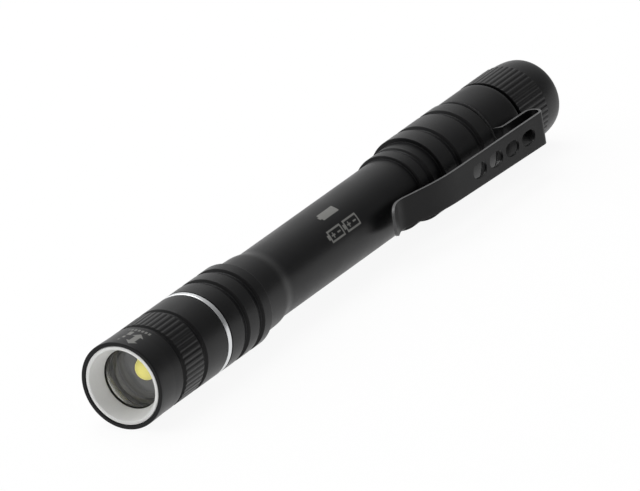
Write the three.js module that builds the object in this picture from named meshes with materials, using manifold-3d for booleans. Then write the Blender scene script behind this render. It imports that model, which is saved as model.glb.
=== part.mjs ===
// A pocket flashlight: a sliding focus head, a barrel for two cells in line, a screw-on tail cap with a
// push button, and a sheet-metal pocket clip.
// Millimetres, +Z up. The flashlight lies on its side: its axis runs along +Y from lens to button, and the
// clip points along +X. Distances along the axis, named with an "at" in front, start at the front lip.

import * as THREE from 'three';
import { mergeVertices } from 'three/addons/utils/BufferGeometryUtils.js';
import Module from 'manifold-3d';

// Facets round the turned pieces. A shell has one flute for each facet.
const SHELL_FACETS = 48;
const BARREL_FACETS = 36;
const LENS_FACETS = 32;
const INNER_FACETS = 20;
const SECTION_SIDES = 6;
const CROWN_STEPS = 5;
const DOME_STEPS = 7;

// Clearances: between pieces clamped together, and between pieces that slide or turn on each other.
const SEAT_GAP = 0.1;
const RUN_GAP = 0.3;

// Cells, two in line with their studs to the front.
const CELL_DIAMETER = 10.5;
const CELL_LENGTH = 44.5;
const CELL_ROOM = 0.25;
const CELL_STUD_DIAMETER = 3.8;
const CELL_STUD_HEIGHT = 1;
const CELL_INSET = 1.3;

// Barrel, from the front: band, rib and shoulder with a groove between, step, tube, step, three ribs, neck.
const TUBE_WALL = 1.2;
const STEP_RISE = 0.6;
const RIB_RISE = 0.8;
const FRONT_BAND = 4.4;
const FRONT_RIB = 3.6;
const SHOULDER = 2.85;
const FRONT_STEP = 5.55;
const REAR_STEP = 7.4;
const FIRST_REAR_RIB = 4.1;
const SECOND_REAR_RIB = 6.65;
const THIRD_REAR_RIB = 4.2;
const GROOVE_WIDTH = 1.5;
const GROOVE_DEPTH = 0.5;
const GROOVE_SLOPE = 0.2;
const STEP_GROOVE_INSET = 2.9;
const STEP_GROOVE_WIDTH = 0.8;
const STEP_GROOVE_DEPTH = 0.3;
const EDGE_CHAMFER = 0.15;
const SOCKET_STEP = 0.5;
const SOCKET_DEPTH = 7;
const NECK_STEP = 0.25;
const NECK_WALL = 1;
const NECK_LENGTH = 6.2;

// Head shell and what it holds.
const HEAD_WALL = 1.23;
const LIP_RISE = 0.12;
const LIP_LENGTH = 1.2;
const LIP_FADE = 1.8;
const LIP_WALL = 0.6;
const HEAD_FRONT_BAND = 7.6;
const HEAD_GROOVE_WIDTH = 0.95;
const HEAD_GROOVE_DEPTH = 0.4;
const HEAD_FLUTES = 6.25;
const FLUTE_DEPTH = 0.22;
const FLUTE_CREST_LIFT = 0.05;
const FLUTE_CUTTER_RIM = 1;
const LENS_SOCKET_STEP = 0.4;
const LENS_SEAT_WIDTH = 1;
const LENS_SEAT_DEPTH = 1.4;
const BEZEL_INSET = 0.15;
const BEZEL_DEPTH = 3.45;
const BEZEL_LIP = 0.65;
const BEZEL_LAND = 0.25;
const BEZEL_APERTURE = 11.3;
const GASKET_THICKNESS = 0.6;
const LENS_FLANGE = 1.1;
const LENS_CROWN = 1.6;
const FOCUS_TRAVEL = 6;
const STOP_RING_LENGTH = 2.9;
const STOP_RING_STEP = 0.25;
const STOP_RING_INSET = 0.3;
const TRIM_RING_WIDTH = 1;

// Core that carries the emitter, with its boards and seals.
const FLANGE_RISE = 0.55;
const FLANGE_LIP = 0.8;
const FLANGE_DEPTH = 3;
const EMITTER_CLEARANCE = 1.05;
const EMITTER_DOME_RADIUS = 1.65;
const EMITTER_BASE_SIZE = 3.5;
const EMITTER_BASE_HEIGHT = 0.9;
const BOARD_THICKNESS = 1;
const WEB_THICKNESS = 6;
const CARRIER_WALL = 1.3;
const DRIVER_WALL = 0.9;
const DRIVER_INSET = 3.6;
const CONTACT_FLANGE_DIAMETER = 7;
const CONTACT_FLANGE_THICKNESS = 0.8;
const CONTACT_STUD_DIAMETER = 4;
const FOCUS_RING_SECTION = 0.8;
const SEAL_SECTION = 0.7;
const SEAL_INSET = 1.5;

// Tail cap, switch and button.
const CAP_GAP = 0.4;
const CAP_WALL = 0.92;
const CAP_FLUTES = 8.5;
const CAP_CROWN_STEP = 0.25;
const CAP_CROWN_ROUND = 0.8;
const CAP_END_WALL = 3.4;
const RETAINER_THICKNESS = 1.5;
const WASHER_THICKNESS = 0.4;
const SWITCH_DIAMETER = 8.6;
const PLUNGER_DIAMETER = 3.8;
const PLUNGER_GUIDE = 2;
const BUTTON_DIAMETER = 8.9;
const BUTTON_FLANGE = 1.05;
const BUTTON_FLANGE_THICKNESS = 0.8;
const BUTTON_TRAVEL = 1.5;
const BUTTON_RECESS = 0.5;
const BUTTON_CROWN = 0.5;
const SPRING_LENGTH = 6.4;
const SPRING_DIAMETER = 6.8;
const SPRING_WIRE = 0.8;
const SPRING_TURNS = 4;
const SPRING_STEPS_A_TURN = 8;
const SPRING_WIRE_SIDES = 5;

// Pocket clip: a split collar, a tab bent clear of the cap, a tight bend and the long arm.
const CLIP_SHEET = 0.5;
const COLLAR_WIDTH = 9.7;
const COLLAR_OPENING_DEGREES = 50;
const COLLAR_ARC_STEPS = 30;
const NOTCH_WIDTH = 5.5;
const NOTCH_STRIP = 2;
const TAB_RUN = 1.6;
const BEND_RADIUS = 1.7;
const BEND_AHEAD = 0.3;
const BEND_OPEN_DEGREES = 12;
const BEND_STEPS = 4;
const ARM_WIDTH = 5.8;
const KNEE_WIDTH = 5.6;
const TIP_WIDTH = 5.4;
const TIP_CORNER = 1.8;
const TIP_RUN = 4.4;
const TIP_RISE = 1.9;
const KNEE_AHEAD = 5.45;
const KNEE_LIFT = 2.4;
const CONTACT_AHEAD = 9.45;
const CONTACT_GAP = 0.55;
const HOLE_COUNT = 4;
const HOLE_PITCH = 5.5;
const HOLE_LENGTH = 3.9;
const HOLE_WIDTH = 2.2;
const FIRST_HOLE_INSET = 4.7;
const HOLE_ARC_STEPS = 5;

// Radii, from the cells outwards.
const cellRadius = CELL_DIAMETER / 2;
const boreRadius = cellRadius + CELL_ROOM;
const tubeRadius = boreRadius + TUBE_WALL;
const stepRadius = tubeRadius + STEP_RISE;
const ribRadius = stepRadius + RIB_RISE;
const neckBoreRadius = boreRadius + NECK_STEP;
const neckRadius = neckBoreRadius + NECK_WALL;
const capBoreRadius = neckRadius + RUN_GAP;
const capRadius = capBoreRadius + CAP_WALL;
const carrierRadius = boreRadius + SOCKET_STEP;
const socketRadius = carrierRadius + SEAT_GAP;
const flangeRadius = carrierRadius + FLANGE_RISE;
const headBoreRadius = flangeRadius + RUN_GAP;
const headRadius = headBoreRadius + HEAD_WALL;
const lipRadius = headRadius + LIP_RISE;
const stopSocketRadius = headBoreRadius + STOP_RING_STEP;
const bezelSocketRadius = headRadius - LIP_WALL;
const bezelRadius = bezelSocketRadius - SEAT_GAP;
const lensSocketRadius = bezelSocketRadius - LENS_SOCKET_STEP;
const lensRadius = lensSocketRadius - SEAT_GAP;
const lensSeatRadius = lensSocketRadius - LENS_SEAT_WIDTH;
const apertureRadius = BEZEL_APERTURE / 2;
const switchRadius = SWITCH_DIAMETER / 2;
const plungerRadius = PLUNGER_DIAMETER / 2;
const buttonRadius = BUTTON_DIAMETER / 2;
const buttonFlangeRadius = buttonRadius + BUTTON_FLANGE;
const collarRadius = stepRadius + SEAT_GAP + CLIP_SHEET / 2;

// Places along the axis: the lens stack, the emitter stack, the sliding head.
const atBezelRear = BEZEL_INSET + BEZEL_DEPTH;
const atGasketFront = atBezelRear + SEAT_GAP;
const atGasketRear = atGasketFront + GASKET_THICKNESS;
const atLensFront = atGasketRear + SEAT_GAP;
const atLensRear = atLensFront + LENS_FLANGE;
const atLensSeat = atLensRear + SEAT_GAP;
const atLensSeatRear = atLensSeat + LENS_SEAT_DEPTH;
const atCarrierFront = atLensSeatRear + RUN_GAP;
const atEmitterTip = atLensRear + EMITTER_CLEARANCE;
const atEmitterBase = atEmitterTip + EMITTER_DOME_RADIUS + SEAT_GAP;
const atLedBoard = atEmitterBase + EMITTER_BASE_HEIGHT + SEAT_GAP;
const atCarrierFloor = atLedBoard + BOARD_THICKNESS + SEAT_GAP;
const atFlangeRear = atCarrierFloor + FLANGE_DEPTH;
const atStopRing = atFlangeRear + FOCUS_TRAVEL + RUN_GAP;
const atHeadRear = atStopRing + STOP_RING_LENGTH + STOP_RING_INSET;
const atTrimRing = atHeadRear + RUN_GAP;
const atBarrelFront = atTrimRing + TRIM_RING_WIDTH + SEAT_GAP;

// Places along the axis: the core's rear end, the cells and the switch.
const atSocketEnd = atBarrelFront + SOCKET_DEPTH;
const atCarrierRear = atSocketEnd - SEAT_GAP;
const atDriverRear = atCarrierRear - DRIVER_INSET;
const atDriverFront = atDriverRear - BOARD_THICKNESS;
const atFrontCell = atSocketEnd + CELL_INSET;
const atRearCell = atFrontCell + CELL_LENGTH + SEAT_GAP;
const atSpring = atRearCell + CELL_LENGTH + RUN_GAP;
const atSwitchBoard = atSpring + SPRING_LENGTH + SEAT_GAP;
const atSwitch = atSwitchBoard + BOARD_THICKNESS + SEAT_GAP;

// Places along the axis: the barrel's rear ribs and neck, then the cap.
const atNeckRoot = atSwitchBoard + SEAT_GAP;
const atNeckRear = atNeckRoot + NECK_LENGTH;
const atCollarRear = atNeckRoot - 2 * SEAT_GAP;
const atCollarFront = atCollarRear - COLLAR_WIDTH;
const atThirdRibRear = atCollarFront - RUN_GAP;
const atThirdRib = atThirdRibRear - THIRD_REAR_RIB;
const atSecondRibRear = atThirdRib - GROOVE_WIDTH;
const atSecondRib = atSecondRibRear - SECOND_REAR_RIB;
const atFirstRibRear = atSecondRib - GROOVE_WIDTH;
const atFirstRib = atFirstRibRear - FIRST_REAR_RIB;
const atTubeRear = atFirstRib - REAR_STEP;
const atCapFront = atNeckRoot + CAP_GAP;
const atRetainer = atNeckRear + RUN_GAP;
const atRetainerRear = atRetainer + RETAINER_THICKNESS;
const atCapShoulder = atRetainerRear + SEAT_GAP;
const atWasherRear = atCapShoulder + WASHER_THICKNESS;
const atButtonFlange = atWasherRear + BUTTON_TRAVEL + RUN_GAP;
const atButtonFlangeRear = atButtonFlange + BUTTON_FLANGE_THICKNESS;
const atCapEndWall = atButtonFlangeRear + SEAT_GAP;
const atCapEnd = atCapEndWall + CAP_END_WALL;
const atSwitchRear = atRetainerRear - SEAT_GAP;

// Places along the axis and distances from it: the clip.
const atBend = atCollarRear - BEND_AHEAD;
const atKnee = atFirstRib - KNEE_AHEAD;
const atContact = atTubeRear - CONTACT_AHEAD;
const atTip = atContact - TIP_RUN;
const tabReach = capRadius + RUN_GAP + CLIP_SHEET / 2;
const bendReach = tabReach + BEND_RADIUS;
const armReach = bendReach + BEND_RADIUS;
const kneeReach = ribRadius + KNEE_LIFT;
const contactReach = tubeRadius + CONTACT_GAP + CLIP_SHEET / 2;
const tipReach = contactReach + TIP_RISE;

const wasm = await Module();
wasm.setup();

// Joining and cutting

function toSolid(geometry) {
  geometry.deleteAttribute('normal');
  geometry.deleteAttribute('uv');
  const merged = mergeVertices(geometry);
  const vertProperties = merged.getAttribute('position').array;
  const triVerts = new Uint32Array(merged.index.array);
  return new wasm.Manifold(new wasm.Mesh({ numProp: 3, vertProperties, triVerts }));
}

function toGeometry(solid) {
  const mesh = solid.getMesh();
  const geometry = new THREE.BufferGeometry();
  geometry.setAttribute('position', new THREE.BufferAttribute(mesh.vertProperties, 3));
  geometry.setIndex(new THREE.BufferAttribute(mesh.triVerts, 1));
  geometry.computeVertexNormals();
  return geometry;
}

// Turned and drawn shapes

// Turns a profile of [radius, distance from the front] pairs about the axis. A profile that stays clear of
// the axis closes on itself.
function turned(profile, facets) {
  const points = profile.map(([radius, at]) => new THREE.Vector2(radius, at));
  if (THREE.ShapeUtils.isClockWise(points)) points.reverse();
  const onAxis = points.some((point) => point.x === 0);
  if (onAxis) {
    while (points[0].x !== 0 || points[points.length - 1].x !== 0) points.push(points.shift());
  } else {
    points.push(points[0].clone());
  }
  return new THREE.LatheGeometry(points, facets);
}

function ring(innerRadius, outerRadius, front, rear, facets) {
  const profile = [[innerRadius, front], [outerRadius, front], [outerRadius, rear], [innerRadius, rear]];
  return turned(profile, facets);
}

function disc(radius, front, rear, facets) {
  return turned([[0, front], [radius, front], [radius, rear], [0, rear]], facets);
}

// A sealing ring of round section whose outer edge lies at outerRadius.
function sealRing(outerRadius, section, at) {
  const middle = outerRadius - section / 2;
  const profile = [];
  for (let side = 0; side < SECTION_SIDES; side += 1) {
    const angle = (side / SECTION_SIDES) * 2 * Math.PI;
    profile.push([middle + (section / 2) * Math.cos(angle), at + (section / 2) * Math.sin(angle)]);
  }
  return turned(profile, INNER_FACETS);
}

// The corner points of the groove that such a ring sits in, from front to rear.
function sealGroove(surfaceRadius, outerRadius, section, at) {
  const floor = outerRadius - section - SEAT_GAP;
  const half = section / 2 + SEAT_GAP;
  return [
    [surfaceRadius, at - half],
    [floor, at - half],
    [floor, at + half],
    [surfaceRadius, at + half],
  ];
}

// The corner points of an open groove with sloped walls, from front to rear.
function openGroove(radius, front, width, depth, slope) {
  return [
    [radius, front],
    [radius - depth, front + slope],
    [radius - depth, front + width - slope],
    [radius, front + width],
  ];
}

// Points on a quarter of an ellipse between two profile points. It leaves the first one along the axis.
function roundedCorner(startRadius, startAt, endRadius, endAt, steps) {
  const points = [];
  for (let step = 0; step <= steps; step += 1) {
    const angle = (step / steps) * (Math.PI / 2);
    const radius = endRadius + (startRadius - endRadius) * Math.cos(angle);
    points.push([step === steps ? endRadius : radius, startAt + (endAt - startAt) * Math.sin(angle)]);
  }
  return points;
}

// Points on a shallow round crown, from its apex on the axis to its rim. The apex lies in front of the rim.
function crownArc(rimRadius, rimAt, height, steps) {
  const curve = (rimRadius ** 2 + height ** 2) / (2 * height);
  const spread = Math.asin(rimRadius / curve);
  const points = [];
  for (let step = 0; step <= steps; step += 1) {
    const angle = (step / steps) * spread;
    points.push([curve * Math.sin(angle), rimAt - height + curve * (1 - Math.cos(angle))]);
  }
  return points;
}

// Cuts one straight flute into the middle of every facet of a turned shell.
function fluted(geometry, radius, front, rear) {
  const rim = new THREE.Shape();
  rim.absarc(0, 0, radius + FLUTE_CUTTER_RIM, 0, 2 * Math.PI);
  const flutes = new THREE.Path();
  const corners = 2 * SHELL_FACETS;
  const root = radius * Math.cos(Math.PI / SHELL_FACETS) - FLUTE_DEPTH;
  const points = [];
  for (let corner = 0; corner < corners; corner += 1) {
    const angle = (corner / corners) * 2 * Math.PI;
    const reach = corner % 2 === 0 ? radius + FLUTE_CREST_LIFT : root;
    points.push(new THREE.Vector2(reach * Math.sin(angle), reach * Math.cos(angle)));
  }
  flutes.setFromPoints(points);
  rim.holes.push(flutes);
  const cutter = new THREE.ExtrudeGeometry(rim, {
    depth: rear - front,
    curveSegments: SHELL_FACETS,
    bevelEnabled: false,
  });
  cutter.rotateX(-Math.PI / 2);
  cutter.translate(0, front, 0);
  return toGeometry(toSolid(geometry).subtract(toSolid(cutter)));
}

// The outline of a bent sheet: its middle line, offset by half the sheet to each side.
function sheetShape(middleLine) {
  const last = middleLine.length - 1;
  const outer = [];
  const inner = [];
  middleLine.forEach((point, index) => {
    const before = middleLine[Math.max(index - 1, 0)];
    const after = middleLine[Math.min(index + 1, last)];
    const along = after.clone().sub(before).normalize();
    const across = new THREE.Vector2(-along.y, along.x).multiplyScalar(CLIP_SHEET / 2);
    outer.push(point.clone().add(across));
    inner.push(point.clone().sub(across));
  });
  return new THREE.Shape([...outer, ...inner.reverse()]);
}

// A bent sheet whose outline lies in the plane of the axis and the clip, of one width.
function bentSheet(middleLine, width) {
  const geometry = new THREE.ExtrudeGeometry(sheetShape(middleLine), { depth: width, bevelEnabled: false });
  return geometry.translate(0, 0, -width / 2);
}

function arcPoints(centre, radius, startDegrees, endDegrees, steps) {
  const points = [];
  for (let step = 0; step <= steps; step += 1) {
    const angle = THREE.MathUtils.degToRad(startDegrees + ((endDegrees - startDegrees) * step) / steps);
    const offset = new THREE.Vector2(Math.cos(angle), Math.sin(angle)).multiplyScalar(radius);
    points.push(offset.add(centre));
  }
  return points;
}

// Head

function headShell() {
  const afterFirstGroove = HEAD_FRONT_BAND + HEAD_GROOVE_WIDTH;
  const flutesEnd = afterFirstGroove + HEAD_FLUTES;
  const shell = turned([
    [bezelSocketRadius, 0],
    [lipRadius - EDGE_CHAMFER, 0],
    [lipRadius, EDGE_CHAMFER],
    [lipRadius, LIP_LENGTH],
    [headRadius, LIP_LENGTH + LIP_FADE],
    ...openGroove(headRadius, HEAD_FRONT_BAND, HEAD_GROOVE_WIDTH, HEAD_GROOVE_DEPTH, GROOVE_SLOPE),
    ...openGroove(headRadius, flutesEnd, HEAD_GROOVE_WIDTH, HEAD_GROOVE_DEPTH, GROOVE_SLOPE),
    [headRadius, atHeadRear - EDGE_CHAMFER],
    [headRadius - EDGE_CHAMFER, atHeadRear],
    [stopSocketRadius, atHeadRear],
    [stopSocketRadius, atStopRing - SEAT_GAP],
    [headBoreRadius, atStopRing - SEAT_GAP],
    [headBoreRadius, atLensSeatRear],
    [lensSeatRadius, atLensSeatRear],
    [lensSeatRadius, atLensSeat],
    [lensSocketRadius, atLensSeat],
    [lensSocketRadius, atGasketFront],
    [bezelSocketRadius, atGasketFront],
  ], SHELL_FACETS);
  return fluted(shell, headRadius, afterFirstGroove, flutesEnd);
}

function bezelRing() {
  return turned([
    [bezelRadius, BEZEL_INSET],
    [bezelRadius, atBezelRear],
    [apertureRadius, atBezelRear],
    [apertureRadius, atBezelRear - BEZEL_LAND],
    [bezelRadius - BEZEL_LIP, BEZEL_INSET],
  ], SHELL_FACETS);
}

function lensGasket() {
  return ring(apertureRadius, lensRadius, atGasketFront, atGasketRear, LENS_FACETS);
}

function lens() {
  return turned([
    ...crownArc(apertureRadius - SEAT_GAP, atLensFront, LENS_CROWN, DOME_STEPS),
    [lensRadius, atLensFront],
    [lensRadius, atLensRear],
    [0, atLensRear],
  ], LENS_FACETS);
}

function headStopRing() {
  const rear = atStopRing + STOP_RING_LENGTH;
  return ring(carrierRadius + RUN_GAP, stopSocketRadius - SEAT_GAP, atStopRing, rear, LENS_FACETS);
}

// Core and emitter

const focusRingRadius = headBoreRadius - SEAT_GAP;
const atFocusRing = atCarrierFloor + FLANGE_DEPTH / 2;
const frontSealRadius = socketRadius - SEAT_GAP;
const atFrontSeal = atBarrelFront + SEAL_INSET;
const ledRecessRadius = flangeRadius - FLANGE_LIP;
const driverSocketRadius = carrierRadius - DRIVER_WALL;

function ledCarrier() {
  const cavityRadius = carrierRadius - CARRIER_WALL;
  return turned([
    [0, atCarrierFloor],
    [ledRecessRadius, atCarrierFloor],
    [ledRecessRadius, atCarrierFront],
    [flangeRadius, atCarrierFront],
    ...sealGroove(flangeRadius, focusRingRadius, FOCUS_RING_SECTION, atFocusRing),
    [flangeRadius, atFlangeRear],
    [carrierRadius, atFlangeRear],
    ...sealGroove(carrierRadius, frontSealRadius, SEAL_SECTION, atFrontSeal),
    [carrierRadius, atCarrierRear],
    [driverSocketRadius, atCarrierRear],
    [driverSocketRadius, atDriverFront - SEAT_GAP],
    [cavityRadius, atDriverFront - SEAT_GAP],
    [cavityRadius, atCarrierFloor + WEB_THICKNESS],
    [0, atCarrierFloor + WEB_THICKNESS],
  ], INNER_FACETS);
}

function focusRing() {
  return sealRing(focusRingRadius, FOCUS_RING_SECTION, atFocusRing);
}

function frontSeal() {
  return sealRing(frontSealRadius, SEAL_SECTION, atFrontSeal);
}

function ledBoard() {
  return disc(ledRecessRadius - SEAT_GAP, atLedBoard, atLedBoard + BOARD_THICKNESS, INNER_FACETS);
}

function ledBase() {
  const geometry = new THREE.BoxGeometry(EMITTER_BASE_SIZE, EMITTER_BASE_HEIGHT, EMITTER_BASE_SIZE);
  return geometry.translate(0, atEmitterBase + EMITTER_BASE_HEIGHT / 2, 0);
}

function ledDome() {
  const rim = atEmitterBase - SEAT_GAP;
  const dome = roundedCorner(EMITTER_DOME_RADIUS, rim, 0, atEmitterTip, CROWN_STEPS);
  return turned([...dome, [0, rim]], INNER_FACETS);
}

function driverBoard() {
  return disc(driverSocketRadius - SEAT_GAP, atDriverFront, atDriverRear, INNER_FACETS);
}

function frontContact() {
  const front = atDriverRear + SEAT_GAP;
  const flangeRear = front + CONTACT_FLANGE_THICKNESS;
  const rear = atFrontCell - SEAT_GAP;
  return turned([
    [0, front],
    [CONTACT_FLANGE_DIAMETER / 2, front],
    [CONTACT_FLANGE_DIAMETER / 2, flangeRear],
    [CONTACT_STUD_DIAMETER / 2, flangeRear],
    [CONTACT_STUD_DIAMETER / 2, rear],
    [0, rear],
  ], INNER_FACETS);
}

function trimRing() {
  const rear = atTrimRing + TRIM_RING_WIDTH;
  return ring(carrierRadius + SEAT_GAP, ribRadius, atTrimRing, rear, BARREL_FACETS);
}

// Barrel and cells

const tailSealRadius = capBoreRadius - SEAT_GAP;
const atTailSeal = atCapFront + SEAL_INSET;

function barrel() {
  const firstGroove = atBarrelFront + FRONT_BAND;
  const secondGroove = firstGroove + GROOVE_WIDTH + FRONT_RIB;
  const shoulderEnd = secondGroove + GROOVE_WIDTH + SHOULDER;
  const frontStepEnd = shoulderEnd + FRONT_STEP;
  const stepGroove = atTubeRear + STEP_GROOVE_INSET;
  return turned([
    [socketRadius, atBarrelFront],
    [ribRadius, atBarrelFront],
    ...openGroove(ribRadius, firstGroove, GROOVE_WIDTH, GROOVE_DEPTH, GROOVE_SLOPE),
    ...openGroove(ribRadius, secondGroove, GROOVE_WIDTH, GROOVE_DEPTH, GROOVE_SLOPE),
    [ribRadius, shoulderEnd - EDGE_CHAMFER],
    [stepRadius, shoulderEnd],
    [stepRadius, frontStepEnd - EDGE_CHAMFER],
    [tubeRadius, frontStepEnd],
    [tubeRadius, atTubeRear],
    [stepRadius, atTubeRear + EDGE_CHAMFER],
    ...openGroove(stepRadius, stepGroove, STEP_GROOVE_WIDTH, STEP_GROOVE_DEPTH, GROOVE_SLOPE),
    [stepRadius, atFirstRib],
    [ribRadius, atFirstRib + EDGE_CHAMFER],
    ...openGroove(ribRadius, atFirstRibRear, GROOVE_WIDTH, GROOVE_DEPTH, GROOVE_SLOPE),
    ...openGroove(ribRadius, atSecondRibRear, GROOVE_WIDTH, GROOVE_DEPTH, GROOVE_SLOPE),
    [ribRadius, atThirdRibRear],
    [stepRadius, atThirdRibRear],
    [stepRadius, atNeckRoot],
    [neckRadius, atNeckRoot],
    ...sealGroove(neckRadius, tailSealRadius, SEAL_SECTION, atTailSeal),
    [neckRadius, atNeckRear],
    [neckBoreRadius, atNeckRear],
    [neckBoreRadius, atSpring],
    [boreRadius, atSpring],
    [boreRadius, atSocketEnd],
    [socketRadius, atSocketEnd],
  ], BARREL_FACETS);
}

function cell(front) {
  const shoulder = front + CELL_STUD_HEIGHT;
  const rear = front + CELL_LENGTH;
  return turned([
    [0, front],
    [CELL_STUD_DIAMETER / 2, front],
    [CELL_STUD_DIAMETER / 2, shoulder],
    [cellRadius, shoulder],
    [cellRadius, rear],
    [0, rear],
  ], INNER_FACETS);
}

function tailSeal() {
  return sealRing(tailSealRadius, SEAL_SECTION, atTailSeal);
}

// Tail cap, switch and button

function tailCap() {
  const flutesEnd = atCapFront + CAP_FLUTES;
  const crownRadius = capRadius - CAP_CROWN_STEP;
  const endRadius = crownRadius - CAP_CROWN_ROUND;
  const openingRadius = buttonRadius + RUN_GAP;
  const pocketRadius = buttonFlangeRadius + RUN_GAP;
  const shell = turned([
    [capBoreRadius, atCapFront],
    [capRadius, atCapFront],
    [capRadius, flutesEnd],
    ...roundedCorner(crownRadius, flutesEnd + EDGE_CHAMFER, endRadius, atCapEnd, CROWN_STEPS),
    [openingRadius + EDGE_CHAMFER, atCapEnd],
    [openingRadius, atCapEnd - EDGE_CHAMFER],
    [openingRadius, atCapEndWall],
    [pocketRadius, atCapEndWall],
    [pocketRadius, atCapShoulder],
    [capBoreRadius, atCapShoulder],
  ], SHELL_FACETS);
  return fluted(shell, capRadius, atCapFront - EDGE_CHAMFER, flutesEnd + EDGE_CHAMFER);
}

function switchRetainer() {
  const outer = capBoreRadius - SEAT_GAP;
  return ring(switchRadius + RUN_GAP, outer, atRetainer, atRetainerRear, INNER_FACETS);
}

function buttonWasher() {
  const outer = buttonFlangeRadius + RUN_GAP - SEAT_GAP;
  return ring(switchRadius + RUN_GAP, outer, atCapShoulder, atWasherRear, INNER_FACETS);
}

function button() {
  const top = atCapEnd - BUTTON_RECESS;
  return turned([
    [0, atButtonFlange],
    [buttonFlangeRadius, atButtonFlange],
    [buttonFlangeRadius, atButtonFlangeRear],
    [buttonRadius, atButtonFlangeRear],
    ...roundedCorner(buttonRadius, top - BUTTON_CROWN, 0, top, CROWN_STEPS),
  ], LENS_FACETS);
}

const atPlunger = atSwitchRear - PLUNGER_GUIDE;

function switchBody() {
  const guideRadius = plungerRadius + RUN_GAP;
  const guideFloor = atPlunger - BUTTON_TRAVEL - RUN_GAP;
  return turned([
    [0, atSwitch],
    [switchRadius, atSwitch],
    [switchRadius, atSwitchRear],
    [guideRadius, atSwitchRear],
    [guideRadius, guideFloor],
    [0, guideFloor],
  ], INNER_FACETS);
}

function switchPlunger() {
  return disc(plungerRadius, atPlunger, atButtonFlange - RUN_GAP, INNER_FACETS);
}

function switchBoard() {
  return disc(neckBoreRadius - SEAT_GAP, atSwitchBoard, atSwitch - SEAT_GAP, INNER_FACETS);
}

class SpringPath extends THREE.Curve {
  getPoint(share) {
    const angle = share * SPRING_TURNS * 2 * Math.PI;
    const radius = (SPRING_DIAMETER - SPRING_WIRE) / 2;
    const at = atSpring + SPRING_WIRE / 2 + share * (SPRING_LENGTH - SPRING_WIRE);
    return new THREE.Vector3(radius * Math.cos(angle), at, radius * Math.sin(angle));
  }
}

// The least distance between two turns, over points at least half a turn apart, less the wire.
function springSelfGap(path, steps) {
  const points = path.getPoints(steps);
  const apart = SPRING_STEPS_A_TURN / 2;
  let least = Infinity;
  points.forEach((point, index) => {
    points.slice(index + apart).forEach((other) => {
      least = Math.min(least, point.distanceTo(other));
    });
  });
  return least - SPRING_WIRE;
}

function tailSpring() {
  const path = new SpringPath();
  const steps = SPRING_TURNS * SPRING_STEPS_A_TURN;
  const wire = [];
  for (let side = 0; side < SPRING_WIRE_SIDES; side += 1) {
    const angle = (side / SPRING_WIRE_SIDES) * 2 * Math.PI;
    const corner = new THREE.Vector2(Math.cos(angle), Math.sin(angle));
    wire.push(corner.multiplyScalar(SPRING_WIRE / 2));
  }
  console.log(`tail spring: least gap to itself ${springSelfGap(path, steps).toFixed(2)} mm`);
  return new THREE.ExtrudeGeometry(new THREE.Shape(wire), { steps, extrudePath: path, bevelEnabled: false });
}

// Pocket clip

const bendCentre = new THREE.Vector2(bendReach, atBend);

function clipCollar() {
  const half = Math.PI - THREE.MathUtils.degToRad(COLLAR_OPENING_DEGREES / 2);
  const band = new THREE.Shape();
  band.absarc(0, 0, collarRadius + CLIP_SHEET / 2, -half, half, false);
  band.absarc(0, 0, collarRadius - CLIP_SHEET / 2, half, -half, true);
  const collar = new THREE.ExtrudeGeometry(band, {
    depth: COLLAR_WIDTH,
    curveSegments: COLLAR_ARC_STEPS,
    bevelEnabled: false,
  });
  collar.rotateX(-Math.PI / 2);
  collar.translate(0, atCollarFront, 0);
  const notchLength = COLLAR_WIDTH - NOTCH_STRIP;
  const notch = new THREE.BoxGeometry(2 * collarRadius, 2 * notchLength, NOTCH_WIDTH);
  notch.translate(collarRadius, atCollarFront, 0);
  const tab = bentSheet([
    new THREE.Vector2(collarRadius, atBend - TAB_RUN),
    ...arcPoints(bendCentre, BEND_RADIUS, 180, 90 + BEND_OPEN_DEGREES / 2, BEND_STEPS),
  ], ARM_WIDTH);
  return toGeometry(toSolid(collar).subtract(toSolid(notch)).add(toSolid(tab)));
}

// The arm's outline seen along +X: along is the distance from the front, across is the height.
function armPlan() {
  const rearHalf = ARM_WIDTH / 2;
  const kneeHalf = KNEE_WIDTH / 2;
  const tipHalf = TIP_WIDTH / 2;
  const rear = atBend + 2 * BEND_RADIUS;
  const plan = new THREE.Shape();
  plan.moveTo(rear, -rearHalf);
  plan.lineTo(rear, rearHalf);
  plan.lineTo(atBend, rearHalf);
  plan.lineTo(atKnee, kneeHalf);
  plan.lineTo(atTip + TIP_CORNER, tipHalf);
  plan.absarc(atTip + TIP_CORNER, tipHalf - TIP_CORNER, TIP_CORNER, Math.PI / 2, Math.PI, false);
  plan.absarc(atTip + TIP_CORNER, TIP_CORNER - tipHalf, TIP_CORNER, Math.PI, 1.5 * Math.PI, false);
  plan.lineTo(atKnee, -kneeHalf);
  plan.lineTo(atBend, -rearHalf);
  for (let hole = 0; hole < HOLE_COUNT; hole += 1) {
    const centre = atBend - FIRST_HOLE_INSET - hole * HOLE_PITCH;
    const reach = (HOLE_LENGTH - HOLE_WIDTH) / 2;
    const oblong = new THREE.Path();
    oblong.absarc(centre + reach, 0, HOLE_WIDTH / 2, -Math.PI / 2, Math.PI / 2, false);
    oblong.absarc(centre - reach, 0, HOLE_WIDTH / 2, Math.PI / 2, 1.5 * Math.PI, false);
    plan.holes.push(oblong);
  }
  return plan;
}

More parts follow.
